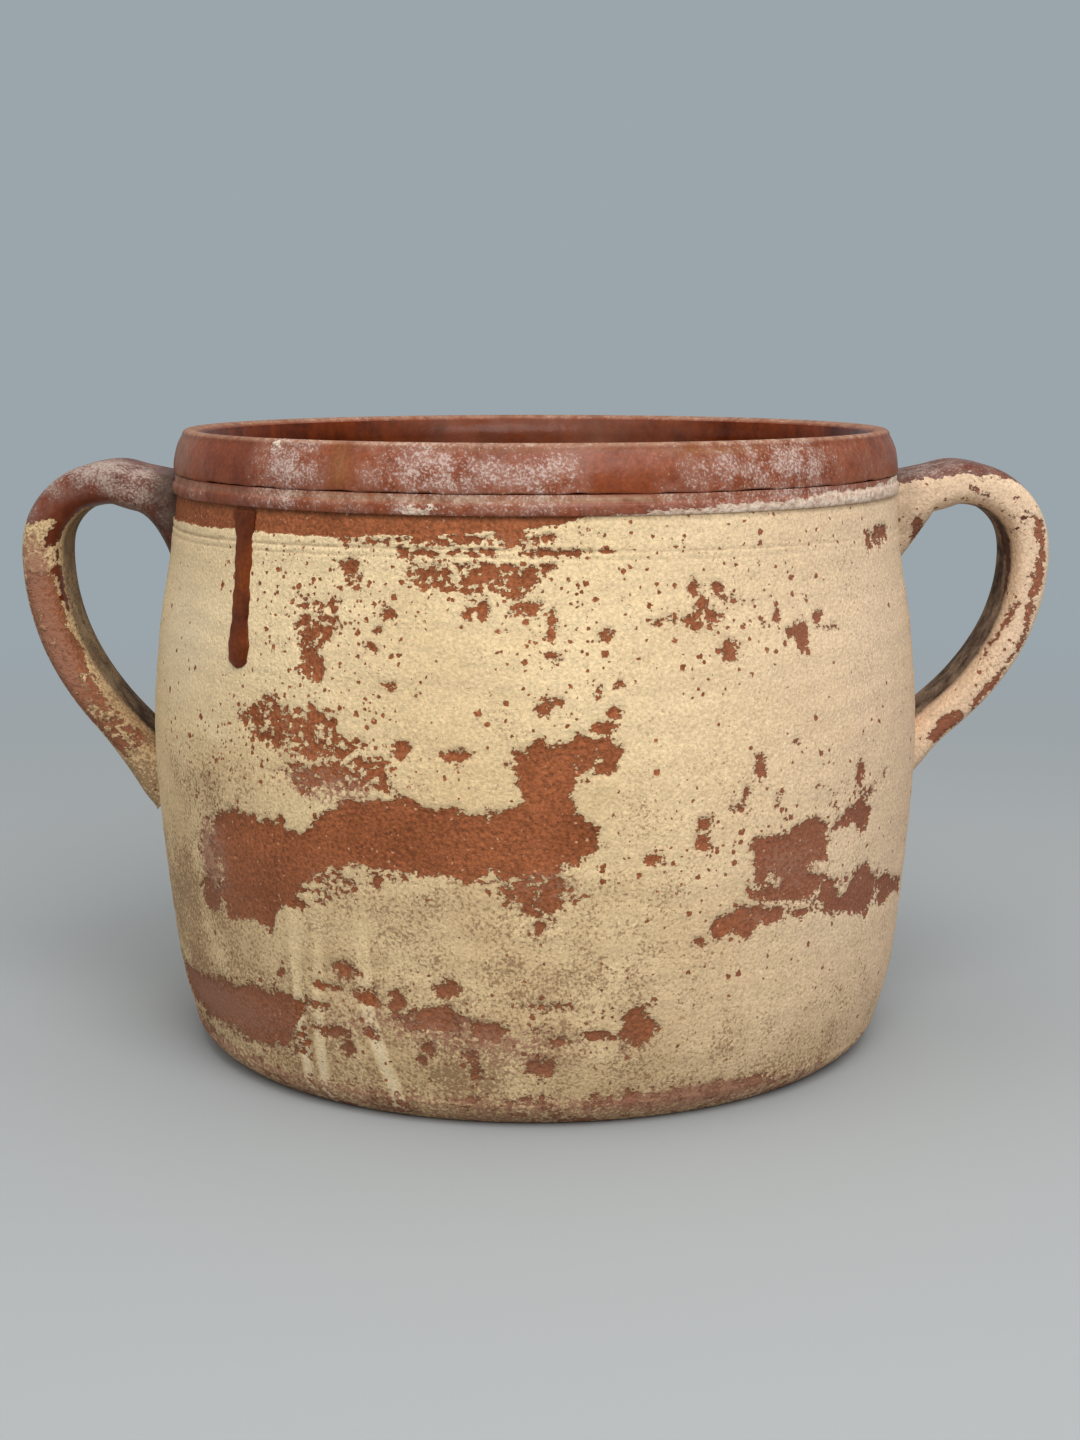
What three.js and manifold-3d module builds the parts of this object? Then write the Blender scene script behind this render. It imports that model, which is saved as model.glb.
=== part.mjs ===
// Two-handled earthenware jar, thrown on a wheel, slipped outside and glazed inside.
// Millimetres. Z is up, the jar stands on z = 0 with its axis on Z, handles lie along X, the front is -Y.
import * as THREE from 'three';
import { mergeVertices } from 'three/addons/utils/BufferGeometryUtils.js';
import Module from 'manifold-3d';

// Overall sizes and the thrown form. Each inset is how far that ring lies inside the belly.
const RIM_HEIGHT = 240; // underside to the crown of the rim
const BELLY_RADIUS = 149.7;
const BELLY_LEVEL = 0.481; // levels are shares of the wall's height
const HEEL_INSET = 13.3; // where slab and wall meet
const HIP_INSET = 6.4;
const HIP_LEVEL = 0.145;
const SHOULDER_INSET = 2.4;
const SHOULDER_LEVEL = 0.705;
const THROAT_INSET = 7.3;
const THROAT_LEVEL = 0.854;
const NECK_INSET = 10.5; // top of the wall, under the collar
const WALL_THICKNESS = 8.5;
const COVE_RADIUS = 14; // inside corner between wall and floor
const FLOOR_THICKNESS = 9; // slab under the wall
const FOOT_BEVEL = 9.4; // turned away between the heel and the flat underside
const HEEL_BULGE = 1;

// Collar and cordon round the mouth.
const COLLAR_HEIGHT = 16.8;
const COLLAR_OVERHANG = 2; // lower edge of the collar beyond the neck
const COLLAR_EDGE = 1; // bevel on that edge
const LIP_INSET = 3.4; // the collar leans in by this much towards the rim
const LIP_ROUND = 2.6; // rounding of the rim's crown
const CORDON_HEIGHT = 7;
const CORDON_OVERHANG = 2.7;
const CORDON_BEAD = 4.6; // height of the round bead below the cordon's ledge
const LEDGE_INSET = 0.9; // the ledge lies this far behind the bead
const CORDON_GAP = 0.6; // open crack between cordon and collar

// Strap handles.
const HANDLE_STANDOFF = 43.8; // middle of the strap beyond the belly
const HANDLE_BEND = 27; // radius of the shoulder of the loop
const HANDLE_DROP = 20.7; // middle of the strap below the rim at the top of the loop
const HANDLE_ROOT_DROP = 28; // where the strap goes into the neck, below the rim
const LEFT_TAIL_HEIGHT = 108; // where each strap's tail meets the wall
const RIGHT_TAIL_HEIGHT = 117.5;
const TAIL_CURVE = 2.25; // how late the strap turns in to the wall
const STRAP_BREADTH = 44;
const STRAP_FLARE = 4; // extra breadth at both ends
const STRAP_ROOT_THICKNESS = 19.5;
const STRAP_TAIL_THICKNESS = 14.5;
const STRAP_THINNING = 1.6; // how soon the strap thins below its root
const STRAP_SQUARENESS = 0.6; // 1 is an oval section, less has squarer corners
const STRAP_DISH = 1; // hollow between the strap's two raised margins
const STRAP_BURY = 6; // overlap before the strap is trimmed to the wall

// Wads of clay under the ends of the straps.
const LUTING_BREADTH = 45;
const UPPER_LUTING_DROP = 12;
const UPPER_LUTING_REACH = 11;
const LEFT_LOWER_DROP = 20;
const LEFT_LOWER_REACH = 11;
const RIGHT_LOWER_DROP = 10;
const RIGHT_LOWER_REACH = 7;
const LUTING_EDGE = 2; // thickness of a wad at its lower edge
const LUTING_SWELL = 1.4; // 1 is a straight taper, more is hollower
const LUTING_TIP = 0.6; // share of its breadth that a wad keeps at its lower edge
const LUTING_ROUND = 0.7; // 1 is a half-round section, less is fuller
const LUTING_BURY = 2.5; // overlap before a wad is trimmed to the wall

// Coats.
const SLIP_THICKNESS = 0.7;
const SLIP_STOP = 3.4; // bare band between cordon and slip
const GROOVE_DROP = 8.2; // first turned line below the upper edge of the slip
const GROOVE_SPACING = 3.2;
const GROOVE_WIDTH = 1.2;
const GROOVE_DEPTH = 0.4;
const GLAZE_THICKNESS = 0.6;
const RUN_ANGLE = -46; // degrees from the front, towards the left handle
const RUN_LENGTH = 55;
const RUN_WIDTH = 9.6;
const RUN_WAIST = 0.15; // share of its width that is lost halfway down
const RUN_TIP = 0.1; // share of its length that rounds off in the end bead
const RUN_WANDER = 1.7; // how far it strays sideways
const RUN_BENDS = 2.2; // how often it strays, in half waves
const RUN_BLUNTNESS = 0.12; // the end bead is cut off where its section has shrunk to this
const RUN_THICKNESS = 1.6;
const RUN_EDGE = 0.3; // thickness where it thins out at both sides

// Film of liquid clay in every curved joint.
const LUTE = 0.3;
const SEGMENTS = 48; // facets round the axis

const NECK_RADIUS = BELLY_RADIUS - NECK_INSET;
const HEEL_RADIUS = BELLY_RADIUS - HEEL_INSET;
const COLLAR_RADIUS = NECK_RADIUS + COLLAR_OVERHANG;
const CORDON_RADIUS = NECK_RADIUS + CORDON_OVERHANG;
const WALL_TOP = RIM_HEIGHT - COLLAR_HEIGHT;
const WALL_RISE = WALL_TOP - FLOOR_THICKNESS;
const BORE_RADIUS = NECK_RADIUS - WALL_THICKNESS;
const CORDON_TOP = WALL_TOP - CORDON_GAP;
const CORDON_BOTTOM = CORDON_TOP - CORDON_HEIGHT;
const SLIP_TOP = CORDON_BOTTOM - SLIP_STOP;

const wasm = await Module();
wasm.setup();

function solidOf(geometry) {
  const bare = geometry.clone();
  bare.deleteAttribute('normal');
  bare.deleteAttribute('uv');
  const welded = mergeVertices(bare, 1e-4);
  const vertProperties = new Float32Array(welded.attributes.position.array);
  const triVerts = new Uint32Array(welded.index.array);
  return new wasm.Manifold(new wasm.Mesh({ numProp: 3, vertProperties, triVerts }));
}

function geometryOf(solid) {
  const mesh = solid.getMesh();
  const geometry = new THREE.BufferGeometry();
  geometry.setAttribute('position', new THREE.BufferAttribute(mesh.vertProperties, 3));
  geometry.setIndex(new THREE.BufferAttribute(mesh.triVerts, 1));
  return geometry;
}

// Turn a profile of (radius, height) points round Z. Angle 0 is the front.
function revolve(points) {
  const geometry = new THREE.LatheGeometry(points, SEGMENTS);
  geometry.rotateX(Math.PI / 2);
  return geometry;
}

// Closed body through a row of rings that all have the same number of points.
function loft(rings) {
  const count = rings[0].length;
  const points = rings.flat();
  const index = [];
  for (let i = 0; i + 1 < rings.length; i += 1) {
    for (let j = 0; j < count; j += 1) {
      const a = i * count + j;
      const b = i * count + ((j + 1) % count);
      index.push(a, b, a + count);
      index.push(b, b + count, a + count);
    }
  }
  const last = (rings.length - 1) * count;
  for (let j = 1; j + 1 < count; j += 1) {
    index.push(0, j + 1, j);
    index.push(last, last + j, last + j + 1);
  }
  const geometry = new THREE.BufferGeometry();
  geometry.setFromPoints(points);
  geometry.setIndex(index);
  return geometry;
}

// The wall's outside: heel, hip, belly, shoulder, throat and neck, as one smooth curve.
function wallPoint(radius, level) {
  return new THREE.Vector2(radius, FLOOR_THICKNESS + level * WALL_RISE);
}

const wallCurve = new THREE.SplineCurve([
  wallPoint(HEEL_RADIUS, 0),
  wallPoint(BELLY_RADIUS - HIP_INSET, HIP_LEVEL),
  wallPoint(BELLY_RADIUS, BELLY_LEVEL),
  wallPoint(BELLY_RADIUS - SHOULDER_INSET, SHOULDER_LEVEL),
  wallPoint(BELLY_RADIUS - THROAT_INSET, THROAT_LEVEL),
  wallPoint(NECK_RADIUS, 1),
]);
const wallOutline = wallCurve.getPoints(10);

function wallRadius(z) {
  let k = 1;
  while (k + 1 < wallOutline.length && wallOutline[k].y < z) {
    k += 1;
  }
  const a = wallOutline[k - 1];
  const b = wallOutline[k];
  return THREE.MathUtils.lerp(a.x, b.x, (z - a.y) / (b.y - a.y));
}

// Heights from one level to another, with every corner of the wall's outline between them.
function wallHeights(from, to) {
  const inside = wallOutline.map((point) => point.y).filter((y) => y > from + 0.5 && y < to - 0.5);
  return [from, ...inside, to];
}

// A line that runs parallel to the wall's outside, at a distance from it.
function besideWall(from, to, distance) {
  return wallHeights(from, to).map((z) => new THREE.Vector2(wallRadius(z) + distance, z));
}

// The inside of the jar from the floor, round the cove, up to a height. Shrink moves it towards the axis.
function insideLine(top, shrink) {
  const coveTop = FLOOR_THICKNESS + COVE_RADIUS;
  const coveCentre = wallRadius(coveTop) - WALL_THICKNESS - COVE_RADIUS;
  const cove = [];
  for (let k = 0; k < 4; k += 1) {
    const turn = (k / 4) * (Math.PI / 2);
    const radius = COVE_RADIUS - shrink;
    cove.push(new THREE.Vector2(coveCentre + radius * Math.sin(turn), coveTop - radius * Math.cos(turn)));
  }
  return [...cove, ...besideWall(coveTop, top, -WALL_THICKNESS - shrink)];
}

function makeBase() {
  const path = new THREE.Path();
  path.moveTo(0, 0);
  path.lineTo(HEEL_RADIUS - FOOT_BEVEL, 0);
  path.quadraticCurveTo(HEEL_RADIUS - HEEL_BULGE, FLOOR_THICKNESS / 2, HEEL_RADIUS, FLOOR_THICKNESS);
  path.lineTo(0, FLOOR_THICKNESS);
  return revolve(path.getPoints(4));
}

function makeWall() {
  const inside = insideLine(WALL_TOP, 0);
  return revolve([inside[0], ...wallOutline, ...inside.reverse()]);
}

function makeCollar() {
  const lip = COLLAR_RADIUS - LIP_INSET;
  const path = new THREE.Path();
  path.moveTo(BORE_RADIUS, WALL_TOP);
  path.lineTo(COLLAR_RADIUS - COLLAR_EDGE, WALL_TOP);
  path.lineTo(COLLAR_RADIUS, WALL_TOP + COLLAR_EDGE);
  path.quadraticCurveTo(COLLAR_RADIUS, WALL_TOP + COLLAR_HEIGHT / 2, lip, RIM_HEIGHT - LIP_ROUND);
  path.quadraticCurveTo(lip, RIM_HEIGHT, lip - LIP_ROUND, RIM_HEIGHT);
  path.lineTo(BORE_RADIUS + LIP_ROUND, RIM_HEIGHT);
  path.quadraticCurveTo(BORE_RADIUS, RIM_HEIGHT, BORE_RADIUS, RIM_HEIGHT - LIP_ROUND);
  path.closePath();
  return revolve(path.getPoints(4));
}

function makeCordon() {
  const back = besideWall(CORDON_BOTTOM, CORDON_TOP, LUTE);
  const low = back[0];
  const high = back[back.length - 1];
  const beadTop = CORDON_BOTTOM + CORDON_BEAD;
  const ledge = CORDON_RADIUS - LEDGE_INSET;
  const path = new THREE.Path();
  path.moveTo(low.x, low.y);
  path.quadraticCurveTo(CORDON_RADIUS, CORDON_BOTTOM, CORDON_RADIUS, CORDON_BOTTOM + CORDON_BEAD / 2);
  path.quadraticCurveTo(CORDON_RADIUS, beadTop, ledge, beadTop);
  path.quadraticCurveTo(ledge, CORDON_TOP, high.x, high.y);
  return revolve([...path.getPoints(3), ...back.reverse().slice(1)]);
}

// The whole turned outside, filled to the axis and grown by the film of a joint, trims what is stuck on it.
function makeTrimmer() {
  const ceiling = RIM_HEIGHT * 2;
  const below = CORDON_BOTTOM - LUTE;
  const widest = Math.max(COLLAR_RADIUS, CORDON_RADIUS) + LUTE;
  return revolve([
    new THREE.Vector2(0, FLOOR_THICKNESS),
    ...besideWall(FLOOR_THICKNESS, below, LUTE),
    new THREE.Vector2(CORDON_RADIUS + LUTE, below),
    new THREE.Vector2(CORDON_RADIUS + LUTE, CORDON_TOP),
    new THREE.Vector2(widest, WALL_TOP),
    new THREE.Vector2(COLLAR_RADIUS + LUTE, WALL_TOP + COLLAR_HEIGHT / 2),
    new THREE.Vector2(COLLAR_RADIUS - LIP_INSET / 2 + LUTE, RIM_HEIGHT),
    new THREE.Vector2(COLLAR_RADIUS - LIP_INSET / 2 + LUTE, ceiling),
    new THREE.Vector2(0, ceiling),
  ]);
}

// Middle line of a strap in (radius, height): out of the neck, round the shoulder, in again to the tail.
function strapCurve(tailHeight) {
  const reach = BELLY_RADIUS + HANDLE_STANDOFF;
  const bend = new THREE.Vector2(reach - HANDLE_BEND, RIM_HEIGHT - HANDLE_DROP - HANDLE_BEND);
  const rootHeight = RIM_HEIGHT - HANDLE_ROOT_DROP;
  const points = [new THREE.Vector3(wallRadius(rootHeight) - STRAP_BURY, rootHeight, 0)];
  for (const degrees of [115, 90, 60, 30]) {
    const turn = THREE.MathUtils.degToRad(degrees);
    const x = bend.x + HANDLE_BEND * Math.cos(turn);
    points.push(new THREE.Vector3(x, bend.y + HANDLE_BEND * Math.sin(turn), 0));
  }
  for (const share of [0, 0.25, 0.5, 0.75, 1, 1.1]) {
    const x = reach - (reach - wallRadius(tailHeight)) * share ** TAIL_CURVE;
    points.push(new THREE.Vector3(x, bend.y - (bend.y - tailHeight) * share, 0));
  }
  return new THREE.CatmullRomCurve3(points);
}

function strapThickness(u) {
  return STRAP_TAIL_THICKNESS + (STRAP_ROOT_THICKNESS - STRAP_TAIL_THICKNESS) * (1 - u) ** STRAP_THINNING;
}

// A place on the strap: u along it, t through it (plus is outside). Gives (radius, height).
function strapPlace(curve, u, t) {
  const middle = curve.getPointAt(u);
  const along = curve.getTangentAt(u);
  return new THREE.Vector2(middle.x - along.y * t, middle.y + along.x * t);
}

// One cross-section of the strap: rounded, with a shallow hollow along its outside.
function strapRing(curve, u, side, grow) {
  const count = 16;
  const halfBreadth = (STRAP_BREADTH + STRAP_FLARE * (2 * u - 1) ** 4) / 2 + grow;
  const halfThickness = strapThickness(u) / 2 + grow;
  const ring = [];
  for (let k = 0; k < count; k += 1) {
    const turn = (k / count) * 2 * Math.PI;
    const across = Math.sign(Math.cos(turn)) * Math.abs(Math.cos(turn)) ** STRAP_SQUARENESS;
    const through = Math.sign(Math.sin(turn)) * Math.abs(Math.sin(turn)) ** STRAP_SQUARENESS;
    const dish = through > 0 ? STRAP_DISH * (1 - across * across) : 0;
    const place = strapPlace(curve, u, through * halfThickness - dish);
    ring.push(new THREE.Vector3(side * place.x, side * across * halfBreadth, place.y));
  }
  return ring;
}

function makeStrap(curve, side, grow) {
  const steps = 26;
  const rings = [];
  for (let k = 0; k <= steps; k += 1) {
    rings.push(strapRing(curve, k / steps, side, grow));
  }
  return loft(rings);
}

// Walk along one face of the strap from an end until it stands clear of the wall by a distance.
function strapClear(curve, fromTail, face, distance) {
  let u = 0;
  for (let k = 0; k <= 200; k += 1) {
    u = fromTail ? 1 - k / 400 : k / 400;
    const place = strapPlace(curve, u, (face * strapThickness(u)) / 2);
    if (place.x > wallRadius(place.y) + distance) {
      break;
    }
  }
  return u;
}

// Wad of clay in the corner between strap and wall: a tongue that thins and narrows downwards.
function makeLuting(curve, side, fromTail, drop, reach, grow) {
  const face = fromTail ? 1 : -1;
  const facePlace = (u) => strapPlace(curve, u, (face * strapThickness(u)) / 2);
  const root = facePlace(strapClear(curve, fromTail, face, 0));
  const tip = facePlace(strapClear(curve, fromTail, face, reach));
  const low = root.y - drop - grow;
  const rings = [];
  for (let k = 0; k <= 6; k += 1) {
    const share = k / 6;
    const z = THREE.MathUtils.lerp(low, tip.y, share);
    const depth = LUTING_BURY + LUTING_EDGE + grow + (reach - LUTING_EDGE) * share ** LUTING_SWELL;
    const halfBreadth = (LUTING_BREADTH / 2) * THREE.MathUtils.lerp(LUTING_TIP, 1, Math.sqrt(share)) + grow;
    const back = wallRadius(z) - LUTING_BURY;
    const ring = [new THREE.Vector3(side * (back - LUTING_BURY), -side * halfBreadth, z)];
    for (let j = 0; j <= 8; j += 1) {
      const turn = (j / 8 - 0.5) * Math.PI;
      const x = back + depth * Math.cos(turn) ** LUTING_ROUND;
      ring.push(new THREE.Vector3(side * x, side * halfBreadth * Math.sin(turn), z));
    }
    ring.push(new THREE.Vector3(side * (back - LUTING_BURY), side * halfBreadth, z));
    rings.push(ring);
  }
  return loft(rings);
}

// A strap and its two wads, trimmed to the wall and to each other, and the plug that they need in the slip.
function makeHandle(side, tailHeight, lowerDrop, lowerReach, trimmer) {
  const curve = strapCurve(tailHeight);
  const strap = solidOf(makeStrap(curve, side, 0));
  const strapRoom = solidOf(makeStrap(curve, side, LUTE));
  const upperArgs = [curve, side, false, UPPER_LUTING_DROP, UPPER_LUTING_REACH];
  const lowerArgs = [curve, side, true, lowerDrop, lowerReach];
  const wads = [upperArgs, lowerArgs].map((args) => solidOf(makeLuting(...args, 0)));
  const wadRooms = [upperArgs, lowerArgs].map((args) => solidOf(makeLuting(...args, LUTE)));
  const [upper, lower] = wads.map((wad) => wad.subtract(trimmer).subtract(strapRoom));
  return {
    strap: geometryOf(strap.subtract(trimmer)),
    upper: geometryOf(upper),
    lower: geometryOf(lower),
    plug: strapRoom.add(wadRooms[0]).add(wadRooms[1]),
  };
}

function slipOutside(z) {
  return wallRadius(z) + LUTE + SLIP_THICKNESS;
}

// Cream coat from the floor slab to the turned band under the cordon, with its pair of turned lines.
function makeSlip(plugs) {
  const bottom = FLOOR_THICKNESS + LUTE;
  const back = besideWall(bottom, SLIP_TOP, LUTE);
  const front = besideWall(bottom, SLIP_TOP, LUTE + SLIP_THICKNESS);
  for (const drop of [GROOVE_DROP, GROOVE_DROP + GROOVE_SPACING]) {
    const z = SLIP_TOP - drop;
    front.push(new THREE.Vector2(slipOutside(z - GROOVE_WIDTH / 2), z - GROOVE_WIDTH / 2));
    front.push(new THREE.Vector2(slipOutside(z) - GROOVE_DEPTH, z));
    front.push(new THREE.Vector2(slipOutside(z + GROOVE_WIDTH / 2), z + GROOVE_WIDTH / 2));
  }
  front.sort((a, b) => a.y - b.y);
  const coat = solidOf(revolve([...front, ...back.reverse(), front[0]]));
  return geometryOf(plugs.reduce((rest, plug) => rest.subtract(plug), coat));
}

// Glass-like coat over the floor, up the wall and over the inside of the collar.
function makeLining() {
  const collarLine = (shrink) => new THREE.Vector2(BORE_RADIUS - shrink, RIM_HEIGHT - LIP_ROUND);
  const seat = [...insideLine(WALL_TOP, LUTE), collarLine(LUTE)];
  const face = [...insideLine(WALL_TOP, LUTE + GLAZE_THICKNESS), collarLine(LUTE + GLAZE_THICKNESS)];
  const underside = new THREE.Vector2(0, seat[0].y);
  const middle = new THREE.Vector2(0, face[0].y);
  return revolve([underside, ...seat, ...face.reverse(), middle]);
}

// Run of glaze that starts under the cordon and stops in a rounded bead.
function makeRun() {
  const top = CORDON_BOTTOM - LUTE;
  const steps = 10;
  const rings = [];
  for (let k = 0; k <= steps; k += 1) {
    const share = k / steps;
    const z = top - RUN_LENGTH * share;
    const rounding = Math.max((share + RUN_TIP - 1) / RUN_TIP, 0);
    const tip = Math.sqrt(Math.max(1 - rounding ** 2, RUN_BLUNTNESS));
    const halfWidth = (RUN_WIDTH / 2) * tip * (1 - RUN_WAIST * Math.sin(Math.PI * share));
    const back = wallRadius(z) + SLIP_THICKNESS + 2 * LUTE;
    const stray = (RUN_WANDER / back) * Math.sin(RUN_BENDS * Math.PI * share);
    const wander = THREE.MathUtils.degToRad(RUN_ANGLE) + stray;
    const ring = [];
    for (let j = 0; j < 8; j += 1) {
      const turn = (j / 7) * Math.PI;
      const angle = wander + (halfWidth * Math.cos(turn)) / back;
      const radius = back + RUN_EDGE + RUN_THICKNESS * tip * Math.sin(turn);
      ring.push(new THREE.Vector3(radius * Math.sin(angle), -radius * Math.cos(angle), z));
    }
    for (const edge of [-1, 0, 1]) {
      const angle = wander + (halfWidth * edge) / back;
      ring.push(new THREE.Vector3(back * Math.sin(angle), -back * Math.cos(angle), z));
    }
    rings.push(ring);
  }
  return loft(rings);
}

function addPiece(group, name, geometry, color, roughness) {
  geometry.computeVertexNormals();
  const material = new THREE.MeshStandardMaterial({ color, roughness, metalness: 0 });
  const mesh = new THREE.Mesh(geometry, material);
  mesh.name = name;
  group.add(mesh);
}

const CLAY = '#9a5636';
const SLIP = '#d9bf93';
const WORN_GLAZE = '#96604a';
const GLAZE = '#6f3018';

const trimmer = solidOf(makeTrimmer());
const left = makeHandle(-1, LEFT_TAIL_HEIGHT, LEFT_LOWER_DROP, LEFT_LOWER_REACH, trimmer);
const right = makeHandle(1, RIGHT_TAIL_HEIGHT, RIGHT_LOWER_DROP, RIGHT_LOWER_REACH, trimmer);

const jar = new THREE.Group();
jar.name = 'terracotta_jar';
addPiece(jar, 'base_disc', makeBase(), CLAY, 0.9);
addPiece(jar, 'body_wall', makeWall(), CLAY, 0.9);
addPiece(jar, 'cordon', makeCordon(), WORN_GLAZE, 0.7);
addPiece(jar, 'rim_collar', makeCollar(), WORN_GLAZE, 0.6);
addPiece(jar, 'left_handle', left.strap, WORN_GLAZE, 0.6);
addPiece(jar, 'left_upper_luting', left.upper, SLIP, 0.85);
addPiece(jar, 'left_lower_luting', left.lower, SLIP, 0.85);
addPiece(jar, 'right_handle', right.strap, SLIP, 0.8);
addPiece(jar, 'right_upper_luting', right.upper, SLIP, 0.85);
addPiece(jar, 'right_lower_luting', right.lower, SLIP, 0.85);
addPiece(jar, 'slip_coat', makeSlip([left.plug, right.plug]), SLIP, 0.85);
addPiece(jar, 'glaze_lining', makeLining(), GLAZE, 0.3);
addPiece(jar, 'glaze_run', makeRun(), GLAZE, 0.3);

export default jar;
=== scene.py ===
# %% [markdown]
# # An old two-handled kitchen jar
# The real jar was thrown on a wheel in red clay, dipped in a cream slip (a
# skin of liquid clay), glazed inside and over the rim with a red-brown iron
# glaze, and then used until the slip flaked off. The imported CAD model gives
# the frame. Every piece here is built round it, in metres, in the same place.

# %% Load the frame
import math

import bpy
import numpy as np
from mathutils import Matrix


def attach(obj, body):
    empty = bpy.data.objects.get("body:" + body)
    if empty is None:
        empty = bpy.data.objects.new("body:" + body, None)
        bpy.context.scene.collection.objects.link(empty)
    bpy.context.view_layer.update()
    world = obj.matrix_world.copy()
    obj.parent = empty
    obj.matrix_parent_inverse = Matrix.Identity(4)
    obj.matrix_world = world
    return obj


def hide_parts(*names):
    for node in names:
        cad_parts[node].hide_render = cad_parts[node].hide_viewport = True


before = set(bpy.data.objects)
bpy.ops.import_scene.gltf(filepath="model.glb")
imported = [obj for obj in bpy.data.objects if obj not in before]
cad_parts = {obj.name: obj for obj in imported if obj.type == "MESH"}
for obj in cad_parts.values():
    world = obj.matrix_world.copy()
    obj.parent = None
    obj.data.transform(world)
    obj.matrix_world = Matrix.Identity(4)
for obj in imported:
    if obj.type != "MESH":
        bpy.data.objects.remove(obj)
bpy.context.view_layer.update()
print("CAD nodes:", sorted(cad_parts))

# %% [markdown]
# ## Two small helpers
# Colours are written as sRGB hex values, the way a paint chart gives them,
# and `ink` turns them into the linear values that a render works with. `add`
# puts one node into a tree, sets or links its inputs and hands back an output,
# so a long node tree can be read from top to bottom like a recipe.

# %% Colours and nodes
MM = 0.001  # sizes of the jar are written in millimetres


def ink(code):
    """Linear colour from an sRGB hex value."""
    parts = [int(code[k:k + 2], 16) / 255 for k in (1, 3, 5)]
    linear = [p / 12.92 if p <= 0.04045 else ((p + 0.055) / 1.055) ** 2.4 for p in parts]
    return (*linear, 1.0)


def add(tree, kind, inputs=None, out=0, **settings):
    """Add a node, set or link its inputs, and give back one output (the node if out is None)."""
    node = tree.nodes.new(kind)
    for name, value in settings.items():
        setattr(node, name, value)
    for key, value in (inputs or {}).items():
        if isinstance(value, bpy.types.NodeSocket):
            tree.links.new(value, node.inputs[key])
        else:
            node.inputs[key].default_value = value
    return node if out is None else node.outputs[out]


print("cream slip in linear light:", [round(v, 3) for v in ink("#e6cb9d")])

# %% [markdown]
# ## Floor, light and camera
# The jar stands on a plain pale grey floor with nothing round it, so it can be
# looked at from every side. Near the jar the floor is an ordinary matt surface
# that takes the shadow. Further out it fades, to the eye and in reflections,
# into the same grey-blue as the world around it.

# %% The floor and the world
FAR_GREY = ink("#9ba6ac")
FLOOR_GREY = ink("#a3a7a8")
FLOOR_SIZE = 16.0  # metres
FADE_FROM, FADE_TO = 0.3, 1.3  # metres from the jar's axis
AMBIENT = 0.56  # share of the light that comes from all round


def shows_background(tree):
    """1 for the rays that show what lies behind the jar: straight, or by a shine on it."""
    rays = add(tree, "ShaderNodeLightPath", out=None).outputs
    seen = add(tree, "ShaderNodeMath", {0: rays["Is Camera Ray"], 1: rays["Is Glossy Ray"]},
               operation="MAXIMUM")
    return add(tree, "ShaderNodeMath", {0: seen, 1: rays["Is Transmission Ray"]}, operation="MAXIMUM")


bpy.ops.mesh.primitive_plane_add(size=FLOOR_SIZE)
floor = bpy.context.object
floor.name = "floor"

# Matt paint: an even grey that takes a soft shadow and has no shine.
paint = bpy.data.materials.new("matt_grey_floor")
paint.use_nodes = True
tree = paint.node_tree
tree.nodes.clear()
place = add(tree, "ShaderNodeTexCoord", out="Object")
away = add(tree, "ShaderNodeVectorMath", {0: place}, out="Value", operation="LENGTH")
far = add(tree, "ShaderNodeMapRange", {0: away, 1: FADE_FROM, 2: FADE_TO},
          interpolation_type="SMOOTHSTEP")
fade = add(tree, "ShaderNodeMath", {0: far, 1: shows_background(tree)}, operation="MULTIPLY")
matt = add(tree, "ShaderNodeBsdfPrincipled", {"Base Color": FLOOR_GREY, "Roughness": 0.8})
distant = add(tree, "ShaderNodeEmission", {"Color": FAR_GREY})
either = add(tree, "ShaderNodeMixShader", {0: fade, 1: matt, 2: distant})
add(tree, "ShaderNodeOutputMaterial", {0: either}, out=None)
floor.data.materials.append(paint)

world = bpy.data.worlds.new("soft_room")
bpy.context.scene.world = world
world.use_nodes = True
tree = world.node_tree
tree.nodes.clear()
room = add(tree, "ShaderNodeBackground", {"Color": (1.0, 1.0, 1.0, 1.0), "Strength": AMBIENT})
shown = add(tree, "ShaderNodeBackground", {"Color": FAR_GREY})
either = add(tree, "ShaderNodeMixShader", {0: shows_background(tree), 1: room, 2: shown})
add(tree, "ShaderNodeOutputWorld", {0: either}, out=None)
print("world made, ambient share", AMBIENT)

# %% [markdown]
# The light is one wide soft lamp in front, above and a little to the right: the
# cream is brightest just right of the middle and falls off softly to the left
# and towards the foot. A lamp of power P at distance d gives the light level
# P / (pi * pi * d * d) at which a colour renders as it is written.

# %% Lamps
AIM_HEIGHT = 0.12  # metres: the lamps point at the middle of the jar
LAMPS = {
    # name: (turn to the right, height angle, distance, width, level)
    "front_softbox": (14, 44, 1.7, 1.3, 0.72),
    "overhead": (0, 84, 1.8, 1.8, 0.25),
    "left_fill": (-75, 30, 1.7, 1.4, 0.08),
}
for name, (turn, lift, distance, width, level) in LAMPS.items():
    lamp = bpy.data.lights.new(name, "AREA")
    lamp.shape = "DISK"
    lamp.size = width
    lamp.energy = level * (math.pi * distance) ** 2
    stand = bpy.data.objects.new(name, lamp)
    bpy.context.scene.collection.objects.link(stand)
    a, e = math.radians(turn), math.radians(lift)
    stand.location = (distance * math.sin(a) * math.cos(e), -distance * math.cos(a) * math.cos(e),
                      AIM_HEIGHT + distance * math.sin(e))
    stand.rotation_euler = (math.pi / 2 - e, 0.0, a)
print("lamps:", list(LAMPS))

# %% [markdown]
# The camera stands where the photograph was taken: a little above the rim,
# looking slightly down. Its place, tilt and lens were worked out from the ovals
# that the round rim, cordon, belly and foot make in the picture.

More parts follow.
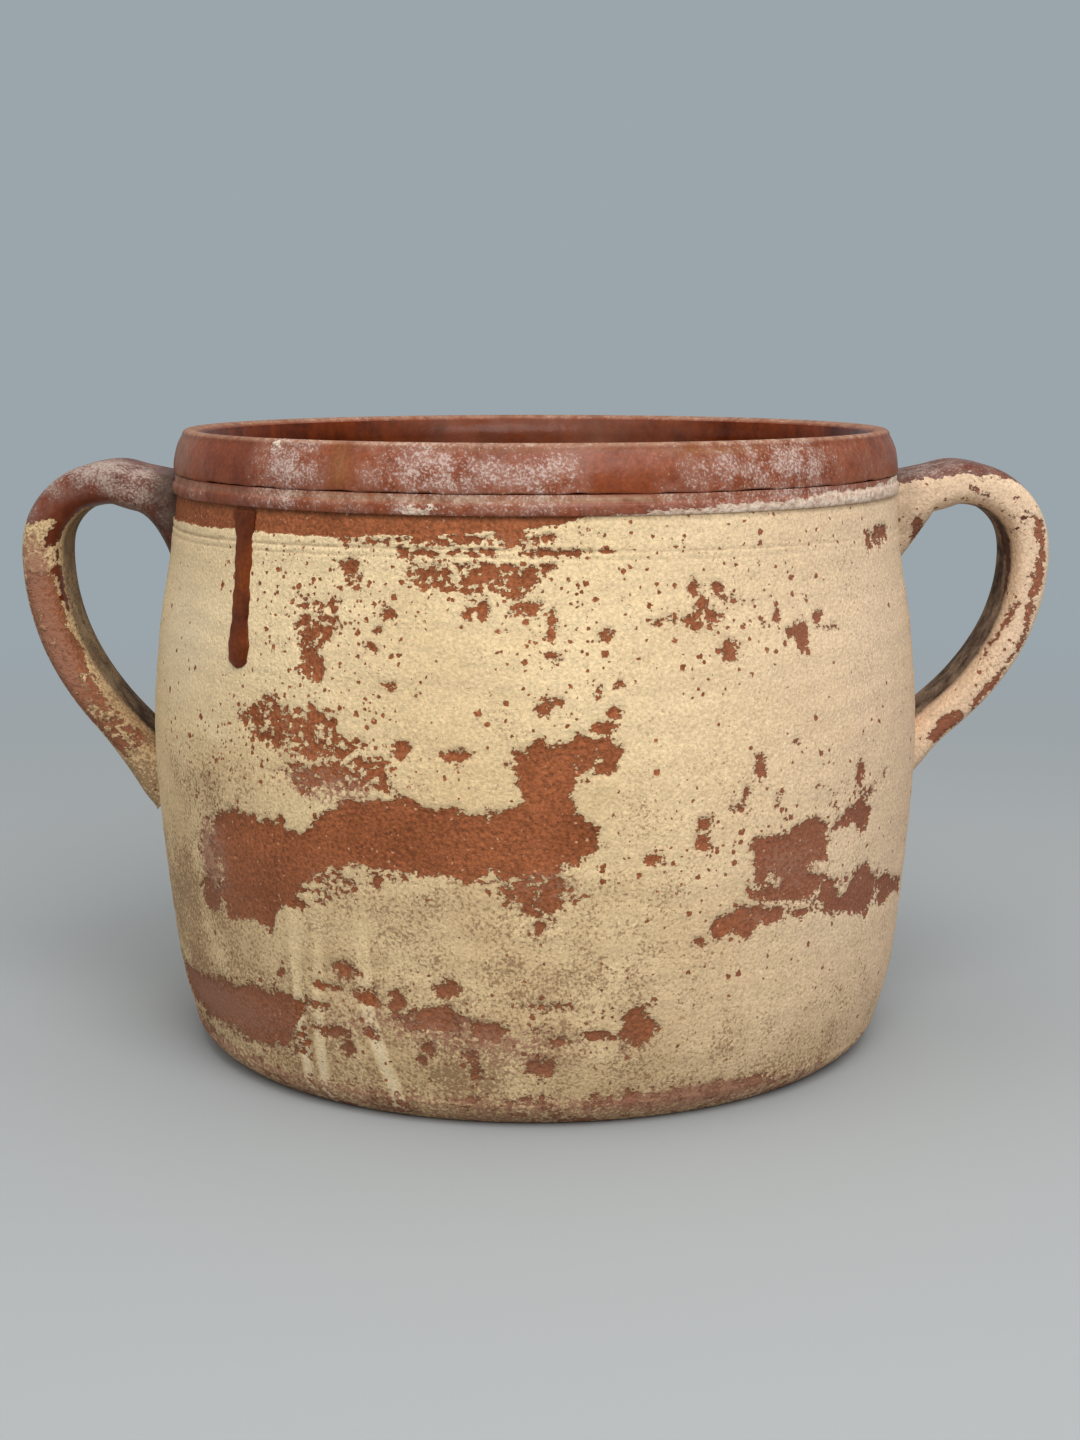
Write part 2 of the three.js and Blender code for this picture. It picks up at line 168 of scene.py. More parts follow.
# %% Camera
SENSOR, FOCAL_LENGTH = 36.0, 55.375  # millimetres
EYE = (0.00171, -0.8785, 0.27497)  # metres
LOOK_DOWN = 9.822  # degrees below level
lens = bpy.data.cameras.new("camera")
lens.sensor_width = SENSOR
lens.lens = FOCAL_LENGTH
camera = bpy.data.objects.new("camera", lens)
bpy.context.scene.collection.objects.link(camera)
camera.location = EYE
camera.rotation_euler = (math.radians(90 - LOOK_DOWN), 0.0, 0.0)
bpy.context.scene.camera = camera
bpy.context.scene.view_settings.view_transform = "Standard"
print("camera with a lens of", lens.lens, "mm")

# %% [markdown]
# ## The outline of the wall
# A thrown pot is one outline turned round an axis. The outline passes smoothly
# through six radii that were measured at the heel, hip, belly, shoulder,
# throat and neck. A Catmull-Rom line goes through every one of its points,
# which is why it suits measured radii better than a Bezier line.

# %% Measured radii in millimetres
RIM_HEIGHT = 240.0
HEEL_Z, WALL_TOP = 9.0, 223.2
SLIP_COAT = 1.0  # slip stands this far outside the clay wall
WALL_THICKNESS = 8.5
LEVELS = (0.0, 0.145, 0.481, 0.705, 0.854, 1.0)
RADII = (136.4, 143.3, 149.7, 147.3, 142.4, 139.2)
SPAN_STEPS = 24  # points between two measured radii


def smooth_line(points, count):
    """Catmull-Rom line through the points, as count steps for each span."""
    points = np.asarray(points, float)
    ends = np.vstack([2 * points[0] - points[1], points, 2 * points[-1] - points[-2]])
    line = []
    for a, b, c, d in zip(ends, ends[1:], ends[2:], ends[3:]):
        for t in np.arange(count) / count:
            line.append(0.5 * (2 * b + (c - a) * t + (2 * a - 5 * b + 4 * c - d) * t ** 2
                               + (3 * b - a - 3 * c + d) * t ** 3))
    return np.array(line + [points[-1]])


WALL = smooth_line([(r, HEEL_Z + s * (WALL_TOP - HEEL_Z)) for s, r in zip(LEVELS, RADII)], SPAN_STEPS)


def wall_radius(z):
    """Radius of the bare clay wall at a height, in millimetres."""
    return np.interp(z, WALL[:, 1], WALL[:, 0])


print("belly radius", round(float(WALL[:, 0].max()), 1), "mm")

# %% [markdown]
# ## A tree that throws a pot
# The wall, cordon, collar, lining and base all follow the same rule: an outline
# turned round the axis. Blender's Spin tool could do that, but a Geometry Nodes
# tree does it for every piece with sizes that can be changed later. It lays a
# grid, rolls it up, and takes the radius and height of each row from the
# outline. Columns are closer together at the front, where the fine flaking
# is. A slow wobble and faint finger ridges keep the pot from looking machined.

# %% The thrown form
def new_tree(name, sizes):
    """Geometry tree with a geometry input, named sizes and a geometry output."""
    tree = bpy.data.node_groups.new(name, "GeometryNodeTree")
    tree.interface.new_socket("Geometry", in_out="INPUT", socket_type="NodeSocketGeometry")
    for label, kind, value in sizes:
        socket = tree.interface.new_socket(label, in_out="INPUT", socket_type=kind)
        if value is not None:
            socket.default_value = value
    tree.interface.new_socket("Geometry", in_out="OUTPUT", socket_type="NodeSocketGeometry")
    return tree, add(tree, "NodeGroupInput", out=None).outputs


thrown, given = new_tree("thrown_form", (
    ("Columns", "NodeSocketInt", 360),
    ("Evenness", "NodeSocketFloat", 0.75),
    ("Wobble", "NodeSocketFloat", 0.5 * MM),
    ("Ridge", "NodeSocketFloat", 0.05 * MM),
    ("Ridge spacing", "NodeSocketFloat", 9 * MM),
    ("Material", "NodeSocketMaterial", None),
))
rows = add(thrown, "GeometryNodeAttributeDomainSize", {0: given["Geometry"]}, component="MESH")
edges = add(thrown, "ShaderNodeMath", {0: given["Columns"], 1: 1.0}, operation="ADD")
grid = add(thrown, "GeometryNodeMeshGrid", {"Vertices X": edges, "Vertices Y": rows}, out=None)
index = add(thrown, "GeometryNodeInputIndex")
column = add(thrown, "ShaderNodeMath", {0: index, 1: rows}, operation="DIVIDE")
column = add(thrown, "ShaderNodeMath", {0: column}, operation="FLOOR")
row = add(thrown, "ShaderNodeMath", {0: index, 1: rows}, operation="MODULO")
share = add(thrown, "ShaderNodeMath", {0: column, 1: given["Columns"]}, operation="DIVIDE")
share = add(thrown, "ShaderNodeMath", {0: share, 1: 2.0, 2: -1.0}, operation="MULTIPLY_ADD")
cube = add(thrown, "ShaderNodeMath", {0: share, 1: 3.0}, operation="POWER")
evenly = add(thrown, "ShaderNodeMath", {0: share, 1: given["Evenness"]}, operation="MULTIPLY")
rest = add(thrown, "ShaderNodeMath", {0: 1.0, 1: given["Evenness"]}, operation="SUBTRACT")
turn = add(thrown, "ShaderNodeMath", {0: cube, 1: rest, 2: evenly}, operation="MULTIPLY_ADD")
turn = add(thrown, "ShaderNodeMath", {0: turn, 1: math.pi}, operation="MULTIPLY")

# %% Read the outline, roll the grid up and close it
LUMP_SIZE = 110 * MM  # slow unevenness of the wall
RIDGE_WANDER = 3.0  # ridge spacings that the lumps push the finger ridges up and down
WELD = 0.002 * MM  # points closer than this become one, which closes the seam and the poles
here = add(thrown, "GeometryNodeInputPosition")
weight = add(thrown, "GeometryNodeInputNamedAttribute", {"Name": "outside"}, data_type="FLOAT")
outline = add(thrown, "GeometryNodeSampleIndex",
              {"Geometry": given["Geometry"], "Value": here, "Index": row}, data_type="FLOAT_VECTOR")
weight = add(thrown, "GeometryNodeSampleIndex",
             {"Geometry": given["Geometry"], "Value": weight, "Index": row}, data_type="FLOAT")
outline = add(thrown, "ShaderNodeSeparateXYZ", {0: outline}, out=None).outputs
sine = add(thrown, "ShaderNodeMath", {0: turn}, operation="SINE")
cosine = add(thrown, "ShaderNodeMath", {0: turn}, operation="COSINE")
cosine = add(thrown, "ShaderNodeMath", {0: cosine, 1: -1.0}, operation="MULTIPLY")
ray = add(thrown, "ShaderNodeCombineXYZ", {0: sine, 1: cosine})
rise = add(thrown, "ShaderNodeCombineXYZ", {2: outline["Z"]})
spot = add(thrown, "ShaderNodeVectorMath", {0: ray, 1: outline["X"], 2: rise}, operation="MULTIPLY_ADD")
lumps = add(thrown, "ShaderNodeTexNoise", {"Vector": spot, "Scale": 1 / LUMP_SIZE, "Detail": 1.0})
slow = add(thrown, "ShaderNodeMath", {0: lumps, 1: 0.5}, operation="SUBTRACT")
slow = add(thrown, "ShaderNodeMath", {0: slow, 1: given["Wobble"]}, operation="MULTIPLY")
level = add(thrown, "ShaderNodeMath", {0: outline["Z"], 1: given["Ridge spacing"]}, operation="DIVIDE")
level = add(thrown, "ShaderNodeMath", {0: lumps, 1: RIDGE_WANDER, 2: level}, operation="MULTIPLY_ADD")
level = add(thrown, "ShaderNodeMath", {0: level, 1: 2 * math.pi}, operation="MULTIPLY")
ridge = add(thrown, "ShaderNodeMath", {0: level}, operation="SINE")
swell = add(thrown, "ShaderNodeMath", {0: ridge, 1: given["Ridge"], 2: slow}, operation="MULTIPLY_ADD")
swell = add(thrown, "ShaderNodeMath", {0: swell, 1: weight}, operation="MULTIPLY")
spot = add(thrown, "ShaderNodeVectorMath", {0: ray, 1: swell, 2: spot}, operation="MULTIPLY_ADD")
cloth = add(thrown, "GeometryNodeStoreNamedAttribute",
            {"Geometry": grid.outputs["Mesh"], "Name": "OFBake", "Value": grid.outputs["UV Map"]},
            data_type="FLOAT2", domain="CORNER")
cloth = add(thrown, "GeometryNodeSetPosition", {"Geometry": cloth, "Position": spot})
cloth = add(thrown, "GeometryNodeMergeByDistance", {"Geometry": cloth, "Distance": WELD})
cloth = add(thrown, "GeometryNodeSetShadeSmooth", {"Geometry": cloth})
cloth = add(thrown, "GeometryNodeRealizeInstances", {"Geometry": cloth})
cloth = add(thrown, "GeometryNodeSetMaterial", {"Geometry": cloth, "Material": given["Material"]})
add(thrown, "NodeGroupOutput", {0: cloth}, out=None)
print("tree", thrown.name, "has", len(thrown.nodes), "nodes")

# %% [markdown]
# `run_tree` puts a tree on an object as a modifier, sets its sizes, and keeps
# the result as a plain mesh, so nothing is left to be worked out later.
# `throw` makes the outline as a string of points for the tree. Each point has
# a weight, `outside`, that says how much of the wobble it takes.

# %% Running a tree
def run_tree(piece, tree, sizes):
    """Run a tree on an object and keep what it makes as the object's own mesh."""
    step = piece.modifiers.new(tree.name, "NODES")
    step.node_group = tree
    for item in tree.interface.items_tree:
        if item.in_out == "INPUT" and item.name in sizes:
            step[item.identifier] = sizes[item.name]
    bpy.context.view_layer.update()
    graph = bpy.context.evaluated_depsgraph_get()
    made = bpy.data.meshes.new_from_object(piece.evaluated_get(graph), preserve_all_data_layers=True,
                                           depsgraph=graph)
    piece.modifiers.clear()
    piece.data = made
    return piece


def new_piece(name, mesh):
    """Object at the origin that holds a mesh."""
    mesh.name = name
    piece = bpy.data.objects.new(name, mesh)
    bpy.context.scene.collection.objects.link(piece)
    return piece


def throw(name, outline, outside, sizes):
    """Turn an outline of (radius, height) in millimetres into a closed piece."""
    if outline[0][0] > 0:  # a ring comes back to its start, a disc ends on the axis
        outline = np.vstack([outline, outline[:1]])
        outside = np.append(outside, outside[:1])
    mesh = bpy.data.meshes.new(name)
    steps = [(k, k + 1) for k in range(len(outline) - 1)]
    mesh.from_pydata([(r * MM, 0.0, z * MM) for r, z in outline], steps, [])
    weights = mesh.attributes.new("outside", "FLOAT", "POINT")
    weights.data.foreach_set("value", np.asarray(outside, np.float32))
    piece = run_tree(new_piece(name, mesh), thrown, sizes)
    print(name, "has", len(piece.data.polygons), "faces")
    return piece


def points_of(piece):
    """Vertex positions of a piece in millimetres, with the angle round the jar in degrees."""
    flat = np.empty(len(piece.data.vertices) * 3, np.float32)
    piece.data.vertices.foreach_get("co", flat)
    spots = flat.reshape(-1, 3).astype(float) / MM
    return spots, np.degrees(np.arctan2(spots[:, 0], -spots[:, 1]))


def store(piece, **fields):
    """Keep one number for each vertex under a name that a material can read."""
    for name, values in fields.items():
        kept = piece.data.attributes.new(name, "FLOAT", "POINT")
        kept.data.foreach_set("value", np.asarray(values, np.float32))


# %% [markdown]
# ## Finishes as layers
# A potter builds a surface in layers, and so do these materials. Each finish is
# a small function that gives a colour, a roughness and a height in
# millimetres, and `coat` lays one finish over another wherever a share says
# so. Three patterns are enough for all of them: soft clouds, round specks and
# the torn edge of flaking slip.

# %% Soft clouds and round specks
def cloud(tree, place, size, low=0.3, high=0.7, to=(0.0, 1.0), detail=3.0, stretch=(1.0, 1.0, 1.0)):
    """Noise with blotches of a size in millimetres; what lies from low to high is spread over a range."""
    spot = add(tree, "ShaderNodeVectorMath", {0: place, 1: stretch}, operation="MULTIPLY")
    noise = add(tree, "ShaderNodeTexNoise", {"Vector": spot, "Scale": 1 / (size * MM), "Detail": detail,
                                             "Roughness": 0.6})
    return add(tree, "ShaderNodeMapRange", {0: noise, 1: low, 2: high, 3: to[0], 4: to[1]})


DOT_GRAIN, DOT_JITTER = 2.2, 0.7  # bends to a cell, and how far they push a dot's edge, in cells
DOT_EDGE = (-0.02, 0.06)  # a dot fades over this range, in cells


def specks(tree, place, spacing, amount, reach):
    """Uneven dots, one to a cell, in the share of cells that amount gives."""
    noise = add(tree, "ShaderNodeTexNoise",
                {"Vector": place, "Scale": DOT_GRAIN / (spacing * MM), "Detail": 2.0}, out="Color")
    shift = add(tree, "ShaderNodeVectorMath", {0: noise, 1: (DOT_JITTER * spacing * MM,) * 3, 2: place},
                operation="MULTIPLY_ADD")
    cells = add(tree, "ShaderNodeTexVoronoi", {"Vector": shift, "Scale": 1 / (spacing * MM)}, out=None)
    chance = add(tree, "ShaderNodeSeparateColor", {0: cells.outputs["Color"]}, out=None)
    chosen = add(tree, "ShaderNodeMath", {0: chance.outputs[0], 1: amount}, operation="LESS_THAN")
    size = add(tree, "ShaderNodeMath", {0: chance.outputs[1], 1: reach}, operation="MULTIPLY")
    inside = add(tree, "ShaderNodeMath", {0: size, 1: cells.outputs["Distance"]}, operation="SUBTRACT")
    dot = add(tree, "ShaderNodeMapRange", {0: inside, 1: DOT_EDGE[0], 2: DOT_EDGE[1]})
    return add(tree, "ShaderNodeMath", {0: dot, 1: chosen}, operation="MULTIPLY")


# %% The torn edge
TEARS = ((17, 6.0, 2.0), (5.0, 7.5, 3.0), (1.7, 6.5, 4.0))  # size in mm, swing in mm, detail
TEAR_SHAPE = (1.0, 1.0, 1.3)  # tears are a little wider than high
CHIP_SIZE, CLUSTER_SIZE = 2.9, 9.0  # millimetres
LACE_WEIGHT, CLUSTER_WEIGHT = 0.5, 0.5
CHIP_SLOPE = 16.0  # millimetres to one unit of noise
NO_LACE = -0.5  # so far below nothing that no chip is lost


def loss(tree, place, depth, lace):
    """Millimetres past a torn edge: drawn depth frayed by noise, or lacy chips. Plus is lost."""
    flat = add(tree, "ShaderNodeVectorMath", {0: place, 1: TEAR_SHAPE}, operation="MULTIPLY")
    for size, swing, detail in TEARS:
        noise = add(tree, "ShaderNodeTexNoise", {"Vector": flat, "Scale": 1 / (size * MM), "Detail": detail,
                                                 "Roughness": 0.62})
        noise = add(tree, "ShaderNodeMath", {0: noise, 1: 0.5}, operation="SUBTRACT")
        depth = add(tree, "ShaderNodeMath", {0: noise, 1: swing, 2: depth}, operation="MULTIPLY_ADD")
    chips = add(tree, "ShaderNodeTexNoise", {"Vector": flat, "Scale": 1 / (CHIP_SIZE * MM), "Detail": 4.0,
                                             "Roughness": 0.6})
    chips = add(tree, "ShaderNodeMath", {0: lace, 1: LACE_WEIGHT, 2: chips}, operation="MULTIPLY_ADD")
    crowd = add(tree, "ShaderNodeTexNoise",
                {"Vector": flat, "Scale": 1 / (CLUSTER_SIZE * MM), "Detail": 2.0})
    chips = add(tree, "ShaderNodeMath", {0: crowd, 1: CLUSTER_WEIGHT, 2: chips}, operation="MULTIPLY_ADD")
    chips = add(tree, "ShaderNodeMath", {0: chips, 1: CHIP_SLOPE, 2: -CHIP_SLOPE}, operation="MULTIPLY_ADD")
    return add(tree, "ShaderNodeMath", {0: depth, 1: chips}, operation="MAXIMUM")


def beyond(tree, past, edge):
    """1 past a torn edge, 0 before it, soft over an edge in millimetres."""
    return add(tree, "ShaderNodeMapRange", {0: past, 1: -edge, 2: edge}, interpolation_type="SMOOTHSTEP")


print("a tear bends at", [size for size, swing, detail in TEARS], "mm, chips are", CHIP_SIZE, "mm")

# %% [markdown]
# A finish stays a plain dictionary until the end, so layers can be stacked in
# any order, and one shader takes up the result. Mixing whole shaders would
# work too, but then heights could not be mixed, and the edge of a coat would
# have no thickness.

# %% Laying one finish over another
def coat(tree, under, over, share):
    """Lay a finish over another one where share is 1."""
    colour = add(tree, "ShaderNodeMix", {0: share, 6: under["colour"], 7: over["colour"]}, out=2,
                 data_type="RGBA")
    laid = {"colour": colour}
    for part in ("roughness", "height"):
        laid[part] = add(tree, "ShaderNodeMix", {0: share, 2: under[part], 3: over[part]})
    return laid


def tint(tree, finish, share, code):
    """Stain a finish with a colour; how rough and how high it is stays as it was."""
    stained = add(tree, "ShaderNodeMix", {0: share, 6: finish["colour"], 7: ink(code)}, out=2,
                  data_type="RGBA")
    return {**finish, "colour": stained}


def shade(tree, finish, value):
    """Lighten or darken a finish by a factor."""
    shaded = add(tree, "ShaderNodeHueSaturation", {"Color": finish["colour"], "Value": value})
    return {**finish, "colour": shaded}


def finished(name, build, shine):
    """Material whose node tree is built from one finish; heights are in millimetres."""
    material = bpy.data.materials.new(name)
    material.use_nodes = True
    tree = material.node_tree
    tree.nodes.clear()
    finish = build(tree, add(tree, "ShaderNodeTexCoord", out="Object"))
    bump = add(tree, "ShaderNodeBump", {"Strength": 1.0, "Distance": MM, "Height": finish["height"]})
    skin = add(tree, "ShaderNodeBsdfPrincipled",
               {"Base Color": finish["colour"], "Roughness": finish["roughness"], "Normal": bump,
                "Specular IOR Level": shine})
    add(tree, "ShaderNodeOutputMaterial", {0: skin}, out=None)
    print("material", name, "has", len(tree.nodes), "nodes")
    return material


# %% [markdown]
# ## Clay, slip, glaze and what time did to them
# Red earthenware is fired low, so it stays open and matt and shows pale grit.
# The slip is the same kind of clay without iron: a chalky cream skin, sandy to
# the touch. Iron glaze is glassy and deep red-brown. Lime from water leaves a
# chalky mauve-white bloom on it, and kitchen dirt settles in the pores.

# %% Bare red clay
MAUVE_FROM, MAUVE_FULL = 0.04, 0.1  # metres to the right of the axis, where the clay fired duller


def clay(tree, place):
    """Bare earthenware: matt, warm red, with pale grit under 1 mm across."""
    patch = cloud(tree, place, 22, 0.35, 0.65)
    colour = add(tree, "ShaderNodeMix", {0: patch, 6: ink("#8c4f2e"), 7: ink("#a15e3a")}, out=2,
                 data_type="RGBA")
    gritty = cloud(tree, place, 1.7, 0.25, 0.75, to=(0.0, 0.55))
    finish = {"colour": colour, "roughness": 0.85, "height": gritty}
    finish = shade(tree, finish, cloud(tree, place, 1.3, to=(0.56, 1.36)))
    side = add(tree, "ShaderNodeSeparateXYZ", {0: place}, out="X")
    mauve = add(tree, "ShaderNodeMapRange", {0: side, 1: MAUVE_FROM, 2: MAUVE_FULL, 4: 0.6})
    finish = tint(tree, finish, mauve, "#8d5c49")
    return tint(tree, finish, specks(tree, place, 2.0, 0.4, 0.3), "#c99673")


# %% Cream slip
BLUSH_FROM, BLUSH_FULL = 0.02, 0.15  # metres to the right, where the slip fired pinker
PORE = 1.15  # millimetres; real pores are finer, and are drawn as coarse as they need to show


def slip(tree, place, grime):
    """Matt cream slip: fine sand, brushed bands, a brown veil and brown grime in the pores, chalky where
    grime is below 0; on the left strap and the heel the veil and grime also stand for painted shade.
    """
    patch = cloud(tree, place, 55, 0.35, 0.65)
    colour = add(tree, "ShaderNodeMix", {0: patch, 6: ink("#ddc092"), 7: ink("#e8cda0")}, out=2,
                 data_type="RGBA")
    sand = cloud(tree, place, 1.3, 0.25, 0.75, to=(0.0, 0.3))
    finish = {"colour": colour, "roughness": 0.88, "height": sand}
    side = add(tree, "ShaderNodeSeparateXYZ", {0: place}, out="X")
    blush = add(tree, "ShaderNodeMapRange", {0: side, 1: BLUSH_FROM, 2: BLUSH_FULL, 4: 0.75})
    finish = tint(tree, finish, blush, "#dfbfa4")
    finish = shade(tree, finish, cloud(tree, place, 40, to=(0.94, 1.05), stretch=(1.0, 1.0, 7.0)))
    for size, dark, light in ((5.0, 0.95, 1.05), (1.2, 0.76, 1.2)):
        finish = shade(tree, finish, cloud(tree, place, size, to=(dark, light)))
    veil = cloud(tree, place, 24, to=(0.15, 0.75))
    veil = add(tree, "ShaderNodeMath", {0: veil, 1: grime}, operation="MULTIPLY", use_clamp=True)
    finish = tint(tree, finish, veil, "#b2926a")
    pores = add(tree, "ShaderNodeTexNoise", {"Vector": place, "Scale": 1 / (PORE * MM), "Detail": 3.0,
                                             "Roughness": 0.6})
    broad = cloud(tree, place, 16, to=(-0.1, 0.1))
    pores = add(tree, "ShaderNodeMath", {0: pores, 1: broad}, operation="ADD")
    pores = add(tree, "ShaderNodeMath", {0: grime, 1: 0.19, 2: pores}, operation="MULTIPLY_ADD")
    dirt_and_shade = add(tree, "ShaderNodeMapRange", {0: pores, 1: 0.63, 2: 0.76, 4: 0.75})
    finish = tint(tree, finish, dirt_and_shade, "#866445")
    chalky = add(tree, "ShaderNodeMapRange", {0: grime, 1: 0.1, 2: -0.5, 4: 0.5})
    return tint(tree, finish, chalky, "#ecdfc2")


# %% Iron glaze and lime bloom
def glaze(tree, place, deep, thin):
    """Glassy red-brown iron glaze, streaky, deep where it is thick."""
    streak = cloud(tree, place, 12, stretch=(1.0, 1.0, 0.8))
    colour = add(tree, "ShaderNodeMix", {0: streak, 6: ink(deep), 7: ink(thin)}, out=2, data_type="RGBA")
    worn = cloud(tree, place, 9, 0.35, 0.75, to=(0.3, 0.55))
    wave = cloud(tree, place, 6, 0.2, 0.8, to=(0.0, 0.25))
    finish = {"colour": colour, "roughness": worn, "height": wave}
    return shade(tree, finish, cloud(tree, place, 2.0, to=(0.82, 1.14)))


LIME_DOT = 1.0  # millimetres; real crystals are finer, and are drawn as coarse as they need to show


def bloomed(tree, place, under, haze, chalk, lime):
    """A glaze dulled by lime: a soft haze, and crisp specks where the lime is thick."""
    mist = cloud(tree, place, 8, 0.38, 0.62, to=(0.1, 1.0), detail=6.0)
    mist = add(tree, "ShaderNodeMath", {0: mist, 1: lime}, operation="MULTIPLY", use_clamp=True)
    laid = coat(tree, under, {"colour": ink(haze), "roughness": 0.78, "height": 0.12}, mist)
    dots = add(tree, "ShaderNodeTexNoise", {"Vector": place, "Scale": 1 / (LIME_DOT * MM), "Detail": 4.0,
                                            "Roughness": 0.65})
    broad = cloud(tree, place, 8, to=(-0.09, 0.09), detail=5.0)
    dots = add(tree, "ShaderNodeMath", {0: dots, 1: broad}, operation="ADD")
    dots = add(tree, "ShaderNodeMath", {0: lime, 1: 0.3, 2: dots}, operation="MULTIPLY_ADD")
    share = add(tree, "ShaderNodeMapRange", {0: dots, 1: 0.69, 2: 0.87, 4: 0.8})
    return coat(tree, laid, {"colour": ink(chalk), "roughness": 0.92, "height": 0.28}, share)


# %% [markdown]
# ## The materials of the jar
# The wall shows clay where the slip is torn away. The depth of each bare patch
# is kept on the mesh as `flake`, and the tear itself is worked out here for
# every point of the surface, so that its edge stays sharp in a close view.
# Hands and cloths also rubbed the slip thin in places, which leaves a stipple
# of mauve-brown on the slip and on the clay beside it.

# %% Slipped wall and base
STIPPLE = 1.7  # millimetres
FLECKS = ((3.0, 0.44), (1.8, 0.42))  # spacing of tiny flecks in mm, and their reach in spacings
TEAR_EDGE, EDGE_SHADOW_AND_STAIN, FRINGE = 0.25, 0.45, 2.0  # millimetres: sharp edge, painted shadow and dirt on it, worn slip beside it
SKIN_HEIGHT = 0.35  # millimetres that the slip stands over the clay in the bump


def rub(tree, place, finish):
    """Mauve-brown stipple where slip is rubbed thin; on the base below the heel it is also painted shade."""
    rubbed = add(tree, "ShaderNodeAttribute", out="Fac", attribute_name="rubbed")
    dots = add(tree, "ShaderNodeTexNoise", {"Vector": place, "Scale": 1 / (STIPPLE * MM), "Detail": 3.0,
                                            "Roughness": 0.62})
    dots = add(tree, "ShaderNodeMath", {0: rubbed, 1: 0.6, 2: dots}, operation="MULTIPLY_ADD")
    share = add(tree, "ShaderNodeMapRange", {0: dots, 1: 0.8, 2: 0.94, 4: 0.85})
    return tint(tree, finish, share, "#9a6b55")


def flaky(tree, place):
    """Cream slip over red clay, flaked and rubbed, with a thin worn fringe beside the tears, and painted
    shadow and dirt along their edges.
    """
    kept = {name: add(tree, "ShaderNodeAttribute", out="Fac", attribute_name=name)
            for name in ("flake", "lace", "pepper", "grime")}
    past = loss(tree, place, kept["flake"], kept["lace"])
    bare = beyond(tree, past, TEAR_EDGE)
    for spacing, reach in FLECKS:
        flecks = specks(tree, place, spacing, kept["pepper"], reach)
        bare = add(tree, "ShaderNodeMath", {0: bare, 1: flecks}, operation="MAXIMUM")
    fringe = add(tree, "ShaderNodeMapRange", {0: past, 1: -FRINGE, 2: 0.0, 4: 0.2})
    skin = tint(tree, slip(tree, place, kept["grime"]), fringe, "#a07a60")
    skin["height"] = add(tree, "ShaderNodeMath", {0: skin["height"], 1: SKIN_HEIGHT}, operation="ADD")
    dulled = add(tree, "ShaderNodeMapRange", {0: kept["grime"], 1: 0.3, 2: 1.0, 4: 0.5})
    under = tint(tree, clay(tree, place), dulled, "#86604a")
    laid = rub(tree, place, coat(tree, skin, under, bare))
    # A dark line along every torn edge: painted shadow of the slip's step, and dirt held there.
    edge_shadow_and_stain = add(tree, "ShaderNodeMath", {0: past}, operation="ABSOLUTE")
    edge_shadow_and_stain = add(tree, "ShaderNodeMapRange", {0: edge_shadow_and_stain, 1: EDGE_SHADOW_AND_STAIN, 2: 0.05, 4: 0.42})
    return tint(tree, laid, edge_shadow_and_stain, "#6b4128")


def slipped(tree, place):
    """Wall and base: flaky slip, and dirt and painted shade in the turned lines and in the crease under the
    cordon.
    """
    line = add(tree, "ShaderNodeAttribute", out="Fac", attribute_name="line")
    # The turned lines and the crease under the cordon get dirt and painted shade.
    dirt_and_shade = add(tree, "ShaderNodeMapRange", {0: line, 1: 0.15, 2: 0.8, 4: 0.7})
    patchy_line = cloud(tree, place, 5, 0.35, 0.65, to=(0.15, 1.0))
    dirt_and_shade = add(tree, "ShaderNodeMath", {0: dirt_and_shade, 1: patchy_line}, operation="MULTIPLY")
    return tint(tree, flaky(tree, place), dirt_and_shade, "#6b4a30")


# Slip brushed on earthenware: a dry, chalky cream with hardly any shine, and sharp red scars in it.
slipped_clay = finished("flaked_cream_slip_on_red_clay", slipped, 0.2)

# %% [markdown]
# One iron glaze went on the rim, the inside and the run, but each has aged in
# its own way. The rim is dull with lime and dust, the inside is still glossy
# with a pale painted sheen in the middle, and the run has weathered. One recipe
# with other colours and other layers on top gives all three.


# %% Glazed rim and inside
def rim_glaze(tree, place):
    """Iron glaze on collar and cordon, dulled by lime, with dust and a crust of slip on the cordon."""
    kept = {name: add(tree, "ShaderNodeAttribute", out="Fac", attribute_name=name)
            for name in ("tawny", "lime", "dust", "cream")}
    iron = tint(tree, glaze(tree, place, "#733010", "#8e4622"), kept["tawny"], "#94653f")
    deep = add(tree, "ShaderNodeMapRange", {0: kept["tawny"], 1: 0.0, 2: -1.0, 4: 0.9})
    iron = tint(tree, iron, deep, "#561d0a")
    iron = shade(tree, iron, cloud(tree, place, 1.2, to=(0.78, 1.2)))
    laid = bloomed(tree, place, iron, "#a67c6c", "#cdb6aa", kept["lime"])
    dust = cloud(tree, place, 4, to=(0.2, 1.0))
    dust = add(tree, "ShaderNodeMath", {0: dust, 1: kept["dust"]}, operation="MULTIPLY", use_clamp=True)
    laid = coat(tree, laid, {"colour": ink("#b89a7c"), "roughness": 0.9, "height": 0.25}, dust)
    lumps = cloud(tree, place, 2.4)
    pale = add(tree, "ShaderNodeMix", {0: lumps, 6: ink("#bb9a84"), 7: ink("#ead6c2")}, out=2,
               data_type="RGBA")
    lumps = add(tree, "ShaderNodeMath", {0: lumps, 1: 0.7}, operation="MULTIPLY")
    crust = {"colour": pale, "roughness": 0.92, "height": lumps}
    past = loss(tree, place, kept["cream"], NO_LACE)
    return coat(tree, laid, crust, beyond(tree, past, 0.4))


SHEEN_FROM, SHEEN_FULL = 0.085, 0.02  # metres from the middle, to either side


